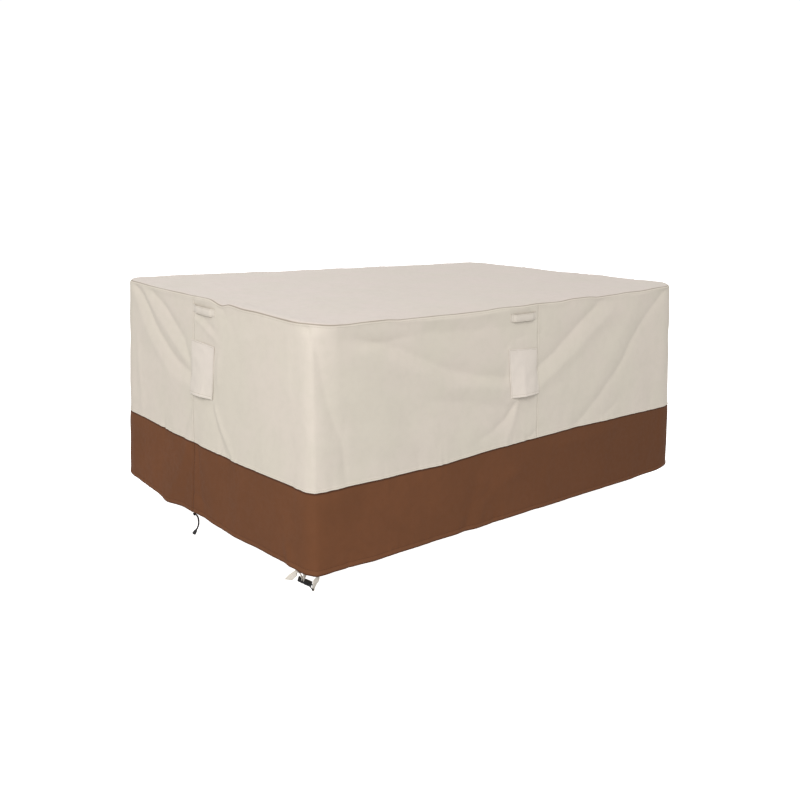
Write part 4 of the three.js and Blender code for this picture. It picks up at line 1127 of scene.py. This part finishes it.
# Walls: painted shade along the rim's seam and the upright seams, and a painted highlight on the lip over the
# skirt.
wall_cloth = cloth_material(
    "beige_coated_cloth", BEIGE, BEIGE_THREAD,
    [("from_foot", 5.0, "along"), ("from_end", 6.0, "down"), ("from_top", 6.5, "along")],
    [RIM_SHADE, ("from_end", 0.3, 1.4, SEAM_SHADE, 0.22), ("from_foot", 1.0, 3.0, LIP_HIGHLIGHT, 0.75)],
)
# Hoods: a painted highlight along the rolled hem of each mouth.
hood_cloth = cloth_material(
    "beige_patch_cloth", PATCH, BEIGE_THREAD, [("from_top", 4.0, "down"), ("from_foot", HOOD_HEM, "along")],
    [("from_foot", 1.2, 4.0, MOUTH_HIGHLIGHT, 0.9)],
)
# Handles: painted shade along the top and bottom edges, where the gap behind the strap lies in shadow.
strap_cloth = cloth_material(
    "beige_strap_cloth", STRAP, BEIGE_THREAD,
    [("from_top", 4.0, "along"), ("from_foot", 3.5, "along"), ("from_end", 3.0, "down"),
     ("from_end", 12.0, "down")],
    [("from_top", 0.8, 2.4, SEAM_SHADE, 0.28), ("from_foot", 0.3, 1.2, SEAM_SHADE, 0.3)],
)
# Top panel: painted shade along the rim's seam.
top_cloth = cloth_material("beige_top_cloth", TOP, BEIGE_THREAD, [], [RIM_SHADE])
# Brown skirt: painted shade and a painted highlight along its edges, and painted shade towards the right end.
brown_cloth = cloth_material(
    "brown_coated_cloth", BROWN, BROWN_THREAD, [("from_foot", HEM_BAND, "along"), ("from_end", 6.0, "down")],
    [("from_top", 4.0, 8.0, BROWN_SHADE, 0.9), ("from_end", 0.4, 1.6, BROWN_SHADE, 0.7),
     ("from_foot", 12.0, 17.0, BROWN_HIGHLIGHT, 0.2), ("from_foot", 4.6, 7.6, BROWN_SHADE, 0.7)],
    roughness=0.7, sheen=0.0, gloss=0.12, right_shade=0.15,
)
web_woven = woven_material(
    "pale_webbing", colour(226, 219, 209), colour(190, 182, 168), 0.0018, 0.85, turns=0.25, sheen=0.2,
)
cord_braid = woven_material(
    "black_braid", colour(20, 20, 22), colour(5, 5, 6), 0.0022, 0.6, turns=1.0, sheen=0.0,
)
black_plastic = moulded_material()


def finish_with(pieces, made):
    """Give pieces their material."""
    for piece in pieces:
        piece.data.materials.clear()
        piece.data.materials.append(made)


finish_with(walls, wall_cloth)
finish_with([lid_cloth], top_cloth)
finish_with(hoods, hood_cloth)
finish_with(handles, strap_cloth)
finish_with([skirt_cloth], brown_cloth)
finish_with(webs, web_woven)
finish_with([draw_cord, draw_cord_knot], cord_braid)
finish_with([cord_end], black_plastic)
for node in ("buckle_tongue", "buckle_socket"):
    bpy.data.objects[node].material_slots[0].material = black_plastic


# Studio, in metres: a white floor under the hanging cord, a white surround, and large soft lamps.
FLOOR_HEIGHT, FLOOR_REACH = -0.800, 30.0
LOOK_AT = Vector((0, 0, -0.35))
WHITE = (1.0, 1.0, 1.0, 1.0)
SURROUND_LIGHT, SURROUND_SEEN = 0.69, 1.05

# Lamps: place, size, power and tint.
LAMPS = {
    "key": ((-4.86, -3.51, 3.16), 2.76, 218, (1.0, 0.995, 0.985)),
    "side": ((4.4, -1.6, 2.4), 2.4, 16, (1.0, 0.98, 0.96)),
    "back": ((1.6, 4.2, 1.8), 2.6, 45, (1.0, 0.98, 0.96)),
}


def floor():
    """A white sheet that shines evenly, so that it carries no shadow; it lights nothing."""
    made, shader, _ = material("pale_floor", Roughness=0.9, Emission_Strength=1.0, Emission_Color=WHITE)
    shader.inputs["Base Color"].default_value = (0.9, 0.9, 0.9, 1.0)
    mesh = bpy.data.meshes.new("floor")
    square = ((-1, -1), (1, -1), (1, 1), (-1, 1))
    mesh.from_pydata([(x * FLOOR_REACH, y * FLOOR_REACH, FLOOR_HEIGHT) for x, y in square], [], [range(4)])
    mesh.materials.append(made)
    plane = bpy.data.objects.new("floor", mesh)
    plane.visible_diffuse = plane.visible_glossy = plane.visible_shadow = False
    bpy.context.scene.collection.objects.link(plane)


def lamp(name, place, size, power, tint):
    """A square soft lamp aimed at the middle of the cover."""
    data = bpy.data.lights.new(name, "AREA")
    data.shape, data.size, data.energy, data.color = "SQUARE", size, power, tint
    made = bpy.data.objects.new(name, data)
    place = Vector(place)
    turned = (LOOK_AT - place).to_track_quat("-Z", "Y").to_matrix().to_4x4()
    made.matrix_world = Matrix.Translation(place) @ turned
    bpy.context.scene.collection.objects.link(made)


def surround():
    """A white world: its light is weaker than the white that is seen behind the cover."""
    world = bpy.data.worlds.new("surround")
    bpy.context.scene.world = world
    world.use_nodes = True
    nodes, links = world.node_tree.nodes, world.node_tree.links
    lit, backdrop = nodes["Background"], nodes.new("ShaderNodeBackground")
    for made, strength in ((lit, SURROUND_LIGHT), (backdrop, SURROUND_SEEN)):
        made.inputs["Color"].default_value = WHITE
        made.inputs["Strength"].default_value = strength
    chosen = nodes.new("ShaderNodeMixShader")
    links.new(nodes.new("ShaderNodeLightPath").outputs["Is Camera Ray"], chosen.inputs[0])
    links.new(lit.outputs[0], chosen.inputs[1])
    links.new(backdrop.outputs[0], chosen.inputs[2])
    links.new(chosen.outputs[0], nodes["World Output"].inputs["Surface"])


floor()
for name, row in LAMPS.items():
    lamp(name, *row)
surround()
bpy.context.scene.view_settings.view_transform = "Standard"
